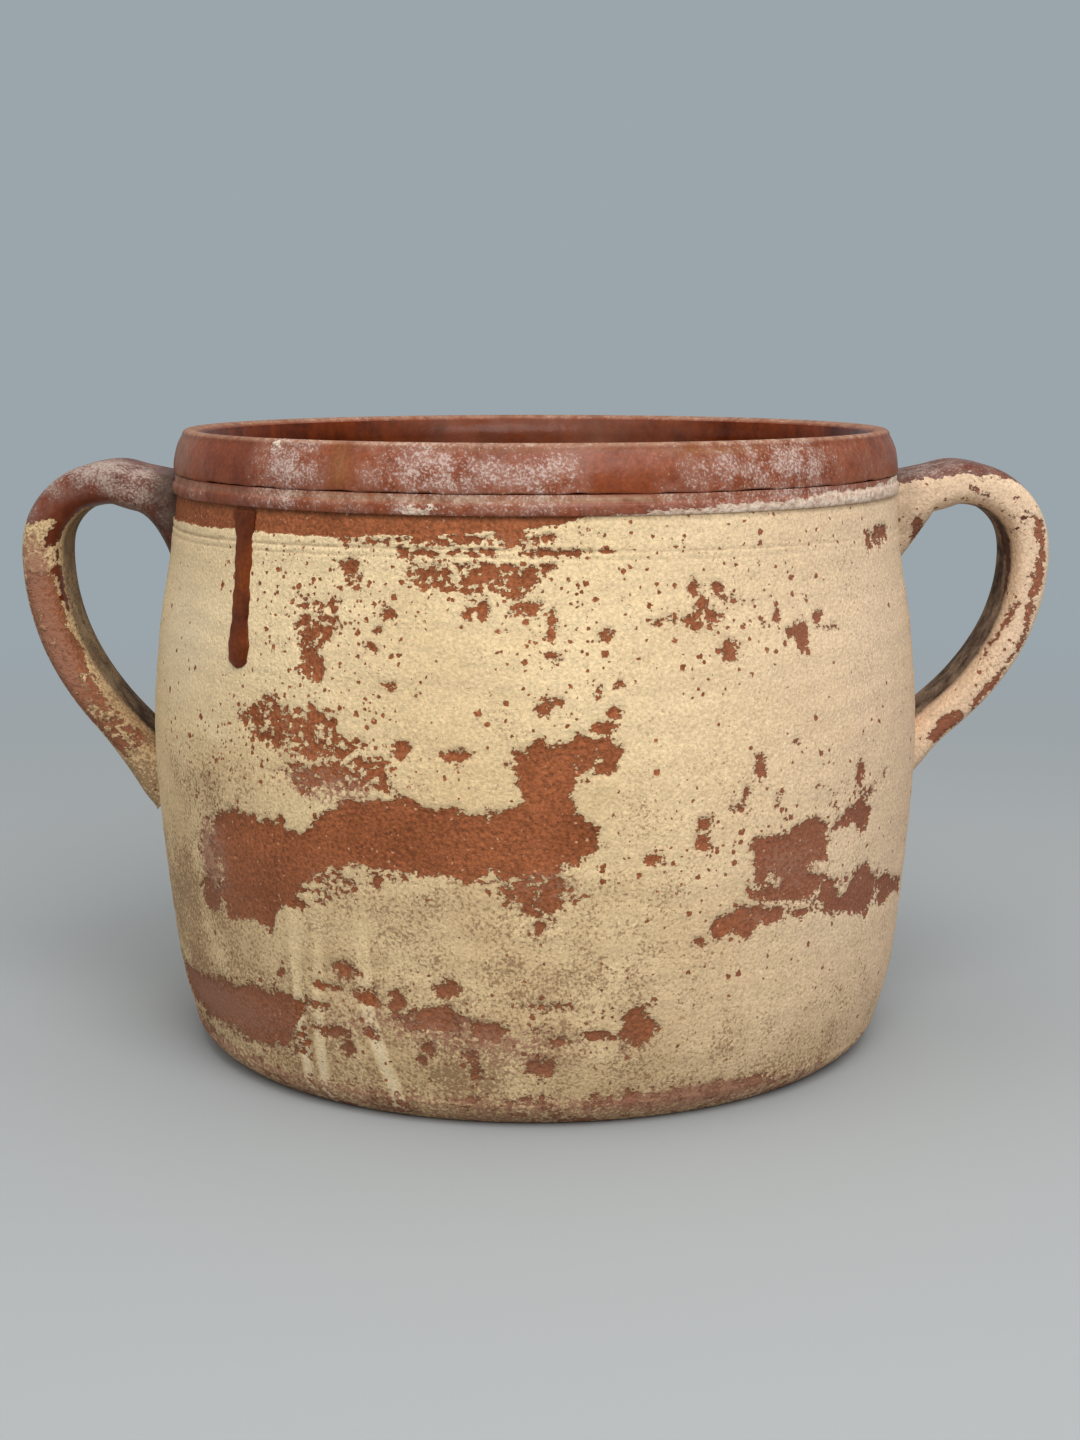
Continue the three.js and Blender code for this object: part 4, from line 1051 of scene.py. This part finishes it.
cloth = add(flaked, "GeometryNodeRealizeInstances", {"Geometry": cloth})
cloth = add(flaked, "GeometryNodeSetMaterial", {"Geometry": cloth, "Material": given["Material"]})
add(flaked, "NodeGroupOutput", {0: cloth}, out=None)
run_tree(wall, flaked, {"Slip thickness": 0.75 * MM, "Line depth": 0.55 * MM, "Material": slipped_clay})
print("wall sunk where bare,", len(wall.data.vertices), "vertices")

# %% [markdown]
# ## Cordon, collar and lining
# The cordon is a ring of clay pressed on under the collar: a round bead with a
# narrow ledge over it. The collar leans in to a rounded lip, and its lower
# edge was left ragged by the potter's fingers. Both are glazed red. The lining
# is the glassy coat inside. All three are thrown with the same tree.

# %% Rounded corners for an outline
def bend(start, corner, end, count=8):
    """Points of a quadratic curve from start to end, pulled towards a corner."""
    t = np.linspace(0, 1, count)[:, None]
    start, corner, end = (np.asarray(p, float) for p in (start, corner, end))
    return (1 - t) ** 2 * start + 2 * t * (1 - t) * corner + t ** 2 * end


print("middle of a round corner:", bend((0, 0), (2, 0), (2, 2), 3)[1])

# %% Cordon
CORDON_LOW, CORDON_TOP = 215.6, 223.1  # heights
PROUD, LEDGE = 141.9, 141.0  # radii of the bead and of the ledge over it
BEAD = 4.6  # height of the bead
bead_middle, bead_top = CORDON_LOW + BEAD / 2, CORDON_LOW + BEAD
back = wall_radius(CORDON_LOW) + 0.2
ring = np.vstack([
    bend((back + 0.3, CORDON_LOW + 0.5), (PROUD - 0.2, CORDON_LOW - 0.2), (PROUD, bead_middle)),
    bend((PROUD, bead_middle), (PROUD, bead_top), (LEDGE, bead_top))[1:],
    bend((LEDGE, bead_top), (LEDGE - 0.1, CORDON_TOP), (back + 0.4, CORDON_TOP))[1:],
    [(back - 1.5, CORDON_TOP), (back - 1.5, CORDON_LOW + 0.5)],
])
cordon = throw("jar_cordon", ring, np.append(np.ones(len(ring) - 2), [0, 0]),
               {"Columns": 480, "Wobble": 0.9 * MM, "Material": rim_finish})

# %% Collar
FOOT, LIP, BORE = 141.2, 137.8, 130.7  # radii
FOOT_TOP, LEAN, LIP_LOW, BORE_TOP = 224.4, 232, 237.6, 238  # heights at which the curves meet or bend
LIP_ROUND = 2.6
ring = np.vstack([[(BORE, WALL_TOP), (FOOT - 1.2, WALL_TOP)],
                  bend((FOOT - 0.6, WALL_TOP), (FOOT, WALL_TOP), (FOOT, FOOT_TOP), 5),
                  bend((FOOT, FOOT_TOP), (FOOT + 0.1, LEAN), (LIP, LIP_LOW), 12)[1:],
                  bend((LIP, LIP_LOW), (LIP - 0.2, RIM_HEIGHT), (LIP - LIP_ROUND, RIM_HEIGHT))[1:],
                  bend((LIP - LIP_ROUND, RIM_HEIGHT), (BORE + 2, RIM_HEIGHT), (BORE + 0.2, BORE_TOP))[1:]])
weights = np.concatenate([[0, 0.6], np.ones(len(ring) - 3), [0]])
collar = throw("jar_collar", ring, weights, {"Columns": 480, "Wobble": 1.3 * MM, "Material": rim_finish})

# %% Ragged edge of the collar
RAGGED = ((13, 0.16), (29, 0.18), (53, 0.16), (87, 0.12))  # waves round the edge, height in mm
RAGGED_TO, RAGGED_OVER = 225.4, 2  # the waves die out over 2 mm below this height
spots, angle = points_of(collar)
waves = sum(tall * np.sin(np.radians(angle) * count + count) for count, tall in RAGGED)
outside = np.hypot(spots[:, 0], spots[:, 1]) > FOOT - 2
edge = np.clip((RAGGED_TO - spots[:, 2]) / RAGGED_OVER, 0, 1) * outside
spots[:, 2] += edge * (0.15 + 0.7 * waves)
collar.data.vertices.foreach_set("co", (spots * MM).ravel())
print("ragged edge:", round(float(waves.min()), 2), "to", round(float(waves.max()), 2), "mm")

# %% [markdown]
# Hard water left a bloom of lime on the rim, in clouds. Dust lies on the ledge
# over the bead, the lip is rubbed, and on the right the slip was brushed up
# over the cordon. All of it is kept as numbers on the vertices, because such
# spots are easier to place and move in a list than in a painted image.

# %% Lime, dust and slip on the rim
# Spots: (angle, height, half width, half height, strength).
LIMED = ((-68, 231, 7, 12, 0.2), (-52, 229, 5, 14, -0.5), (-38, 231, 7, 12, 0.85),
         (-28.2, 232, 2.0, 9, -0.7), (-14, 231, 13, 12, 0.85), (2, 231, 6, 12, 0.6),
         (11.8, 228, 3.4, 7, -0.9), (30, 231, 14, 12, 0.7), (42, 231, 7, 12, 0.45),
         (62, 232, 12, 12, 0.25), (150, 231, 50, 12, 0.5), (-140, 231, 30, 12, 0.45))
TAWNY = ((-28.2, 231, 1.8, 8, 0.55), (27, 237, 8, 1.5, 0.6), (-4, 238, 22, 0.9, 0.4),
         (-48, 228, 3.0, 12, -0.5))
DUSTED = ((-16, 221.4, 22, 1.3, 0.85), (12, 221.6, 10, 0.9, 0.7), (-60, 221.4, 14, 1.0, 0.4),
          (-73, 231, 7, 14, 0.4))
RIM_CHIPS = ((-40.5, 239, 2.2, 1.4), (-15.7, 217.6, 4.2, 1.5))
CREAM_LINE = ((-180, 210), (8, 212), (10.3, 215.8), (18, 217.4), (26.5, 218.6), (45, 220.2), (64, 221),
              (75, 223.5), (110, 224), (150, 216), (180, 210))
CREAM_STEEP, CREAM_CAP, CREAM_STOP = 2.0, 6, 222.9  # the crust ends under the collar
CORDON_LIME, JOINT_Z = 0.3, 223  # all of the cordon, below the joint, has some lime
LIP_FROM, LIP_OVER, LIP_MOST = 238.6, 1.2, 0.45  # wear on the lip
RIM_RADIUS = 140.0  # millimetres: the rim is unrolled at this radius for drawing
for piece in (cordon, collar):
    spots, angle = points_of(piece)
    z = spots[:, 2]
    cream = np.clip(CREAM_STEEP * (np.interp(angle, *np.transpose(CREAM_LINE)) - z), NOWHERE, CREAM_CAP)
    cream = np.where(z < CREAM_STOP, cream, NOWHERE)
    chips = flake_depth(angle, z, math.radians(RIM_RADIUS), {}, RIM_CHIPS)
    lip_wear = np.clip((z - LIP_FROM) / LIP_OVER, 0, LIP_MOST)
    lime = np.where(z < JOINT_Z, CORDON_LIME, 0.0) + mapped(angle, z, LIMED) + 0.4 * lip_wear
    store(piece, lime=lime, dust=mapped(angle, z, DUSTED) + lip_wear, tawny=mapped(angle, z, TAWNY),
          cream=np.maximum(cream, chips))
    print(piece.name, "has", round(float((lime > 0.5).mean()), 2), "of it under lime")

# %% [markdown]
# The lining is a closed skin of glaze over floor, wall and collar. Its outline
# goes out along the clay and comes back a little nearer to the axis, so the
# skin has a real thickness. A single sheet would be lighter, but it would have
# no inside and outside, and light would leak at its edge.

# %% Lining
COVE, FILM, LINING = 14.0, 0.4, 0.6  # curve at the floor, gap to the clay, thickness
UP_COLLAR = ((BORE - 0.3, 231), (BORE - 0.2, 238.2))
floor_z = HEEL_Z + FILM
hollow = np.linspace(HEEL_Z + COVE, WALL_TOP, 40)
inside = wall_radius(hollow) - WALL_THICKNESS - FILM
cove = bend((inside[0] - COVE, floor_z), (inside[0], floor_z), (inside[0], HEEL_Z + COVE), 10)
flat = [(r, floor_z) for r in (0.0, 40.0, 80.0, 105.0)]
seat = np.vstack([flat, cove[:-1], np.stack([inside, hollow], 1), UP_COLLAR])
face = seat[::-1] - (LINING, 0.0)
face[-len(flat) - len(cove) + 1:] += (0.3, 0.5)  # on the floor the thickness is measured upwards
face[-1, 0] = 0.0
lining = throw("glaze_inside", np.vstack([seat, face]), np.zeros(2 * len(seat)),
               {"Columns": 240, "Wobble": 0.0, "Ridge": 0.0, "Material": glossy_finish})

# %% [markdown]
# ## Skinning a row of rings
# The handles and the run of glaze are not turned but drawn out: a cross-section
# that changes as it travels along a line. `loft` joins ring to ring and closes
# both ends.

# %% Loft
def loft(name, rings, material):
    """Piece skinned over rings of points in millimetres, closed at both ends."""
    count, around = rings.shape[:2]
    ends = [rings[0].mean(0), rings[-1].mean(0)]
    faces = []
    for k in range(count - 1):
        for j in range(around):
            a, b = k * around + j, k * around + (j + 1) % around
            faces.append((a, a + around, b + around, b))
    last = (count - 1) * around
    for j in range(around):
        faces.append((j, (j + 1) % around, count * around))
        faces.append((last + (j + 1) % around, last + j, count * around + 1))
    mesh = bpy.data.meshes.new(name)
    mesh.from_pydata((np.vstack([rings.reshape(-1, 3), ends]) * MM).tolist(), [], faces)
    mesh.polygons.foreach_set("use_smooth", [True] * len(faces))
    mesh.materials.append(material)
    print(name, "has", len(faces), "faces")
    return new_piece(name, mesh)


# %% [markdown]
# ## The run of glaze
# When the rim was dipped, one drop of glaze ran down over the slip and stopped
# in a fat bead. It is a low half-round ridge, widest and thickest at its end,
# and duller than the lining. A painted stripe would be quicker, but the bead
# would not catch the light.

# %% Run of glaze
RUN_LINE = ((214.8, -46.7), (183.0, -45.6), (159.6, -45.2))  # height, angle
RUN_TOP, RUN_TIP = RUN_LINE[0][0], RUN_LINE[-1][0]
RUN_HALF = ((0.0, 6.6), (0.08, 5.8), (0.2, 5.2), (0.5, 4.8), (0.75, 5.0), (0.9, 5.7), (0.96, 5.0),
            (0.99, 2.8), (1.0, 0.8))
RUN_THICK = ((0.0, 0.5), (0.2, 0.8), (0.6, 0.9), (0.85, 1.4), (0.94, 1.5), (1.0, 0.4))
RUN_SHARES = np.append(np.linspace(0, 0.88, 50), np.linspace(0.89, 1.0, 22))  # closer at the bead
RUN_AROUND = 28  # points round a ring
RUN_SUNK = 0.9  # millimetres of its back that lie in the slip
turn = np.linspace(0, 2 * np.pi, RUN_AROUND, endpoint=False)
rings = []
for share in RUN_SHARES:
    height = RUN_TOP + (RUN_TIP - RUN_TOP) * share
    half = (np.interp(share, *np.transpose(RUN_HALF))
            + 0.3 * math.sin(25 * share) + 0.2 * math.sin(61 * share))
    thick = np.interp(share, *np.transpose(RUN_THICK))
    across = half * np.cos(turn) + 0.35 * np.sin(9 * share)
    rise = np.sin(turn)
    bulge = np.where(rise > 0, thick * np.abs(rise) ** 0.8, -RUN_SUNK * np.abs(rise) ** 0.5)
    radius = wall_radius(height) + SLIP_COAT + bulge
    aim = np.radians(np.interp(-height, *(np.transpose(RUN_LINE) * [[-1], [1]]))) + across / DRAWN_RADIUS
    rings.append(np.stack([radius * np.sin(aim), -radius * np.cos(aim), np.full(len(turn), height)], 1))
run = loft("glaze_drip", np.array(rings)[:, ::-1], run_finish)

# %% [markdown]
# ## The handles
# Each handle is a strap of clay pulled by hand: it leaves the neck, bends over
# and comes back to the wall lower down, thinning as it goes. The potter
# smeared both ends onto the wall, so the ring swells towards each end, below
# the strap at the top and outside it at the bottom, until it meets the wall.

# %% Middle line of a strap
REACH, BEND_HEIGHT, BEND = 193.5, 192.3, 27.0
ROOT_HEIGHT, ROOT_DEPTH = 212.0, 6.0
TAIL_CURVE = 2.25  # how late the strap turns in to the wall
BEND_TURNS = (115, 90, 60, 30)  # degrees above level, over the bend
TAIL_SHARES = (0, 0.25, 0.5, 0.75, 1, 1.08)  # shares of the way down; the last one is inside the wall
STRAP_ROWS = 230


def strap_line(tail):
    """Middle of the strap in (radius, height), evenly spaced, and the way along it."""
    points = [(wall_radius(ROOT_HEIGHT) - ROOT_DEPTH, ROOT_HEIGHT)]
    for turn in np.radians(BEND_TURNS):
        points.append((REACH - BEND + BEND * math.cos(turn), BEND_HEIGHT + BEND * math.sin(turn)))
    for share in TAIL_SHARES:
        points.append((REACH - (REACH - wall_radius(tail)) * share ** TAIL_CURVE,
                       BEND_HEIGHT - (BEND_HEIGHT - tail) * share))
    fine = smooth_line(points, 40)
    along = np.append(0, np.cumsum(np.hypot(*np.diff(fine, axis=0).T)))
    even = np.linspace(0, along[-1], STRAP_ROWS)
    return np.stack([np.interp(even, along, fine[:, k]) for k in (0, 1)], 1), even


print("a strap that ends 110 mm up is", round(float(strap_line(110.0)[1][-1])), "mm long")

# %% [markdown]
# A bevelled curve would have the same section all along. A pulled strap is
# thicker at its root, dished along its back and smeared out at both ends, so
# every ring is worked out from how far along the strap it lies.

# %% Rings of a strap
ROUND = 112  # points round a strap
ROOT_THICK, TAIL_THICK, THINNING = 19.5, 14.5, 1.6
BREADTH, FLARE, DISH, SQUARE = 44.0, 4.0, 1.2, 0.62
WAVER, WAVE = 0.5, 17  # the edge swings by this much, over this length
TAIL_DEPTH, SMEAR_MOST, SMEAR_ROUND = 5, 1.2, 0.25
IN_WALL = 4.0  # the ends go this far into the wall


def make_strap(name, side, tail, root_smear, tail_smear, material):
    """One handle on the right (side 1) or left (side -1). A smear is (height, reach, curve)."""
    line, along = strap_line(tail)
    flow = np.gradient(line, axis=0)
    flow /= np.hypot(*flow.T)[:, None]
    across_way = np.stack([-flow[:, 1], flow[:, 0]], 1)
    rings, girths = [], []
    for k, (middle, out) in enumerate(zip(line, across_way)):
        u = along[k] / along[-1]
        half = (TAIL_THICK + (ROOT_THICK - TAIL_THICK) * (1 - u) ** THINNING) / 2
        lead = np.clip(1 - (along[k] - ROOT_DEPTH) / root_smear[1], 0, SMEAR_MOST)
        trail = np.clip(1 - (along[-1] - along[k] - TAIL_DEPTH) / tail_smear[1], 0, SMEAR_MOST)
        below = half + root_smear[0] * lead ** root_smear[2]
        above = half + tail_smear[0] * trail ** tail_smear[2]
        wide = (BREADTH + FLARE * (2 * u - 1) ** 4) / 2 + WAVER * math.sin(along[k] / WAVE)
        turn = np.linspace(0, 2 * np.pi, ROUND, endpoint=False)
        under = SQUARE + SMEAR_ROUND * max(lead, trail)
        across = np.sign(np.cos(turn)) * np.abs(np.cos(turn)) ** SQUARE
        through = np.sign(np.sin(turn)) * np.abs(np.sin(turn)) ** np.where(np.sin(turn) < 0, under, SQUARE)
        lift = np.where(through > 0, through * above, through * below)
        lift = lift - np.where(through > 0, DISH * (1 - across ** 2) * through, 0)
        height = middle[1] + out[1] * lift
        radius = np.maximum(middle[0] + out[0] * lift, wall_radius(height) - IN_WALL)
        rings.append(np.stack([side * radius, -across * wide, height], 1))
        step = np.hypot(np.diff(across * wide, append=across[0] * wide), np.diff(lift, append=lift[0]))
        girth = np.append(0, np.cumsum(step)[:-1])
        front = girth[np.argmax(across)]
        girths.append((girth - front + step.sum() / 2) % step.sum() - step.sum() / 2)
    rings, girths = np.array(rings), np.array(girths)
    if side < 0:  # mirrored rings run the other way round
        rings, girths = rings[:, ::-1], girths[:, ::-1]
    strap = loft(name, rings, material)
    return strap, np.append(np.repeat(along, ROUND), [0, along[-1]]), np.append(girths.ravel(), [0, 0])


# %% [markdown]
# The handles have the slip of the wall. On the left one the rim's glaze came far
# down the strap, on the right one it stayed on top. The inner faces and the
# joints at the neck are darkened with painted shade and brown stain. One
# material does for both, because the numbers on each mesh say where its coats lie.

# %% Finish of the handles
def strapped(tree, place):
    """Handle: flaky slip, dusty mauve glaze over the top, painted shade and stain on the inner face and in
    the joint.
    """
    kept = {name: add(tree, "ShaderNodeAttribute", out="Fac", attribute_name=name)
            for name in ("lime", "glazed", "soot")}
    dull = bloomed(tree, place, glaze(tree, place, "#521c0a", "#773a22"), "#93796d", "#b09d92", kept["lime"])
    past = loss(tree, place, kept["glazed"], NO_LACE)
    laid = coat(tree, flaky(tree, place), dull, beyond(tree, past, 0.4))
    # Painted shade and brown stain darken the inner face and the joint at the neck.
    blotchy = cloud(tree, place, 9, to=(0.55, 1.0))
    soot = add(tree, "ShaderNodeMath", {0: kept["soot"], 1: blotchy}, operation="MULTIPLY", use_clamp=True)
    return tint(tree, laid, soot, "#443226")


# Slip and glaze rubbed by hands: chalky cream that turns to dull mauve-brown, and painted shade and stain
# inside the bend.
strap_finish = finished("slipped_and_glazed_handle", strapped, 0.22)

# %% [markdown]
# The wear of a strap is drawn on it as if it were cut open and laid flat.
# `along` is the way from the neck in millimetres, and `girth` the way round the
# strap from the middle of its front edge: plus goes to the outer face, minus to
# the inner one.

# %% Wear on the left strap, in (along, girth) millimetres
LEFT = {
    "bare": {
        "shin": (1.5, ((90, 3), (90, -6), (100, -9), (112, -9), (119, -12), (125, -7), (123, -1), (112, -1),
                       (103, 1))),
        "margin": (1.2, ((90, 3), (90, 6.5), (125, 6.5), (160, 6.5), (160, 3.5), (125, 3))),
    },
    "flakes": ((141, -3.5, 2.5, 1.6), (150, -2, 2, 1.6), (156, 3, 2.4, 1.8), (86, 32, 5, 3.4),
               (101, 42, 4, 2.6), (118, 29, 6, 3.4), (133, 38, 4, 2.4), (151, 31, 4.4, 2.6)),
    "lace": {"shin": (0.68, ((80, -9), (80, 8), (140, 8), (140, -9))),
             "lower": (0.55, ((136, -9), (136, 7), (165, 8), (168, -8))),
             "outer": (0.5, ((80, 12), (80, 46), (110, 50), (136, 40), (140, 16), (110, 10)))},
    "glazed": {
        "over": (9.0, ((-10, -60), (-10, 60), (70, 60), (62, 50), (74, 42), (64, 32), (71, 20), (66, 8),
                       (62, 1), (60, -5), (56, -11), (40, -14), (34, -20), (10, -60))),
        "streak": (4.0, ((34, -12), (50, -6), (60, -5), (73, -3), (69, -11), (53, -12))),
        "low_streak": (4.0, ((73, -9), (81, -7), (90, -10), (98, -11), (105, -15), (84, -13))),
    },
    "lime": ((20, 6, 30, 30, 0.95), (50, 20, 20, 16, 0.7), (56, -8, 22, 5, -1.0), (88, -11, 18, 4, -1.0)),
    "rubbed": ((78, 0, 16, 8, 0.6), (116, 0, 30, 10, 0.75), (110, 12, 40, 10, 0.5)),
    # The left strap is darkened all over: grime, and painted shade for the side turned from the lamps.
    "grime": 0.8,
    "soot": ((0, 0.75), (80, 0.7), (120, 0.85), (160, 1.15)),
    "soot_from": 13,
    "joint_soot": 0.9,
}
print("left strap:", len(LEFT["bare"]) + len(LEFT["glazed"]), "drawn patches")

# %% Wear on the right strap
RIGHT = {
    "bare": {
        "margin": (1.0, ((62, 4.8), (77, 4.3), (86, 2.8), (99, 2.8), (110, 4.8), (124, 4.3), (124, 1.7),
                         (110, 2.2), (99, 0.2), (86, 0.2), (77, 1.7), (62, 2.2))),
        "low_flake": (2.0, ((124, 3), (131, 0), (139, 1), (141, 5), (126, 6))),
        "tail_flake": (2.0, ((146, 2), (152, -1), (161, 1), (160, 5), (147, 5))),
        "slit": (2.0, ((96, -2.5), (121, -7), (121, -10.5), (96, -6))),
        "inner_streak": (2.5, ((55, -20), (68, -19), (79, -12), (92, -13), (95, -16), (82, -19), (70, -26),
                               (55, -28))),
        "lobe_edge": (2.0, ((10, -8), (14, -8), (13, -20), (9, -24))),
    },
    "flakes": ((76, 30, 4, 2.6), (88, 42, 4.4, 3), (98, 26, 2.6, 2), (113, 34, 6, 3.2), (121, 45, 3, 2.2),
               (134, 29, 4, 2.6), (143, 39, 4.4, 2.4)),
    "lace": {"outer": (0.42, ((84, 30), (92, 46), (120, 48), (132, 36), (118, 26), (98, 24)))},
    "glazed": {
        "over": (6.0, ((-10, 6), (12, 6), (22, 4), (29, 3.6), (39, 4), (47, 6.5), (50, 8), (57, 12),
                       (66, 18), (60, 25), (71, 33), (63, 42), (66, 50), (-10, 50))),
        "flecks": (-0.9, ((36, -2), (44, -3), (64, -9), (64, 4), (44, 4), (36, 4))),
    },
    "lime": ((20, 20, 34, 24, 0.85),),
    "rubbed": ((56, -3, 12, 6, 0.3), (150, 0, 20, 8, 0.3), (104, 36, 30, 12, 0.45)),
    "grime": 0.05,
    "soot": ((0, 0), (24, 0.1), (46, 1.05), (180, 1.05)),
    "soot_from": 10,
    "joint_soot": 0.4,
}
print("right strap:", len(RIGHT["bare"]) + len(RIGHT["glazed"]), "drawn patches")

# %% Make both straps
INNER_END, SHADE_AND_STAIN_EDGE = 52, 4  # girth at which the inner face ends, and how soft the edge of its painted shade and stain is
JOINT_END, JOINT_FADE, JOINT_UNDER = 18, 8, -14  # painted shade and stain beside the neck: along, fade, lowest girth
TAIL_GRIME, GRIME_FROM, GRIME_OVER = 0.3, 120, 60
STRAP_FLECKS = 0.12
SIDES = (  # name, side, height of the tail, smear at the root, smear at the tail, wear
    ("left_strap", -1, 108.0, (11.0, 14.0, 1.8), (8.0, 33.0, 1.5), LEFT),
    ("right_strap", 1, 117.5, (13.0, 13.0, 0.9), (3.5, 18.0, 1.8), RIGHT),
)
handles = []
for name, side, tail, root_smear, tail_smear, worn in SIDES:
    strap, along, girth = make_strap(name, side, tail, root_smear, tail_smear, strap_finish)
    # The inner face, turned to the wall, and the joint at the neck get painted shade and stain.
    inner = np.clip((-girth - worn["soot_from"]) / SHADE_AND_STAIN_EDGE, 0, 1)
    inner *= np.clip((girth + INNER_END) / SHADE_AND_STAIN_EDGE, 0, 1)
    inner *= np.interp(along, *np.transpose(worn["soot"]))
    joint = worn["joint_soot"] * np.clip((JOINT_END - along) / JOINT_FADE, 0, 1) * (girth > JOINT_UNDER)
    store(strap, flake=flake_depth(along, girth, 1.0, worn["bare"], worn["flakes"]),
          lace=lace_share(along, girth, 1.0, worn["lace"]),
          glazed=flake_depth(along, girth, 1.0, worn["glazed"], ()),
          lime=mapped(along, girth, worn["lime"]), rubbed=mapped(along, girth, worn["rubbed"]),
          grime=worn["grime"] + TAIL_GRIME * np.clip((along - GRIME_FROM) / GRIME_OVER, 0, 1),
          soot=inner + joint, pepper=np.full(len(along), STRAP_FLECKS), sink=np.ones(len(along)))
    handles.append(run_tree(strap, flaked, {"Slip thickness": 0.5 * MM, "Material": strap_finish}))

# %% [markdown]
# ## Joining the pieces to the frame
# Nothing on a jar moves, so every piece rides on the one body, and the CAD
# solids that it stands for are hidden.

# %% Ride and replace
JOINED = (
    (wall, "slip", ("body_wall", "slip_coat")),
    (base, "clay", ("base_disc",)),
    (cordon, "worn_glaze", ("cordon",)),
    (collar, "worn_glaze", ("rim_collar",)),
    (lining, "glaze", ("glaze_lining",)),
    (run, "glaze", ("glaze_run",)),
    (handles[0], "worn_glaze", ("left_handle", "left_upper_luting", "left_lower_luting")),
    (handles[1], "slip", ("right_handle", "right_upper_luting", "right_lower_luting")),
)
for piece, finish, nodes in JOINED:
    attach(piece, "root")
    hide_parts(*nodes)
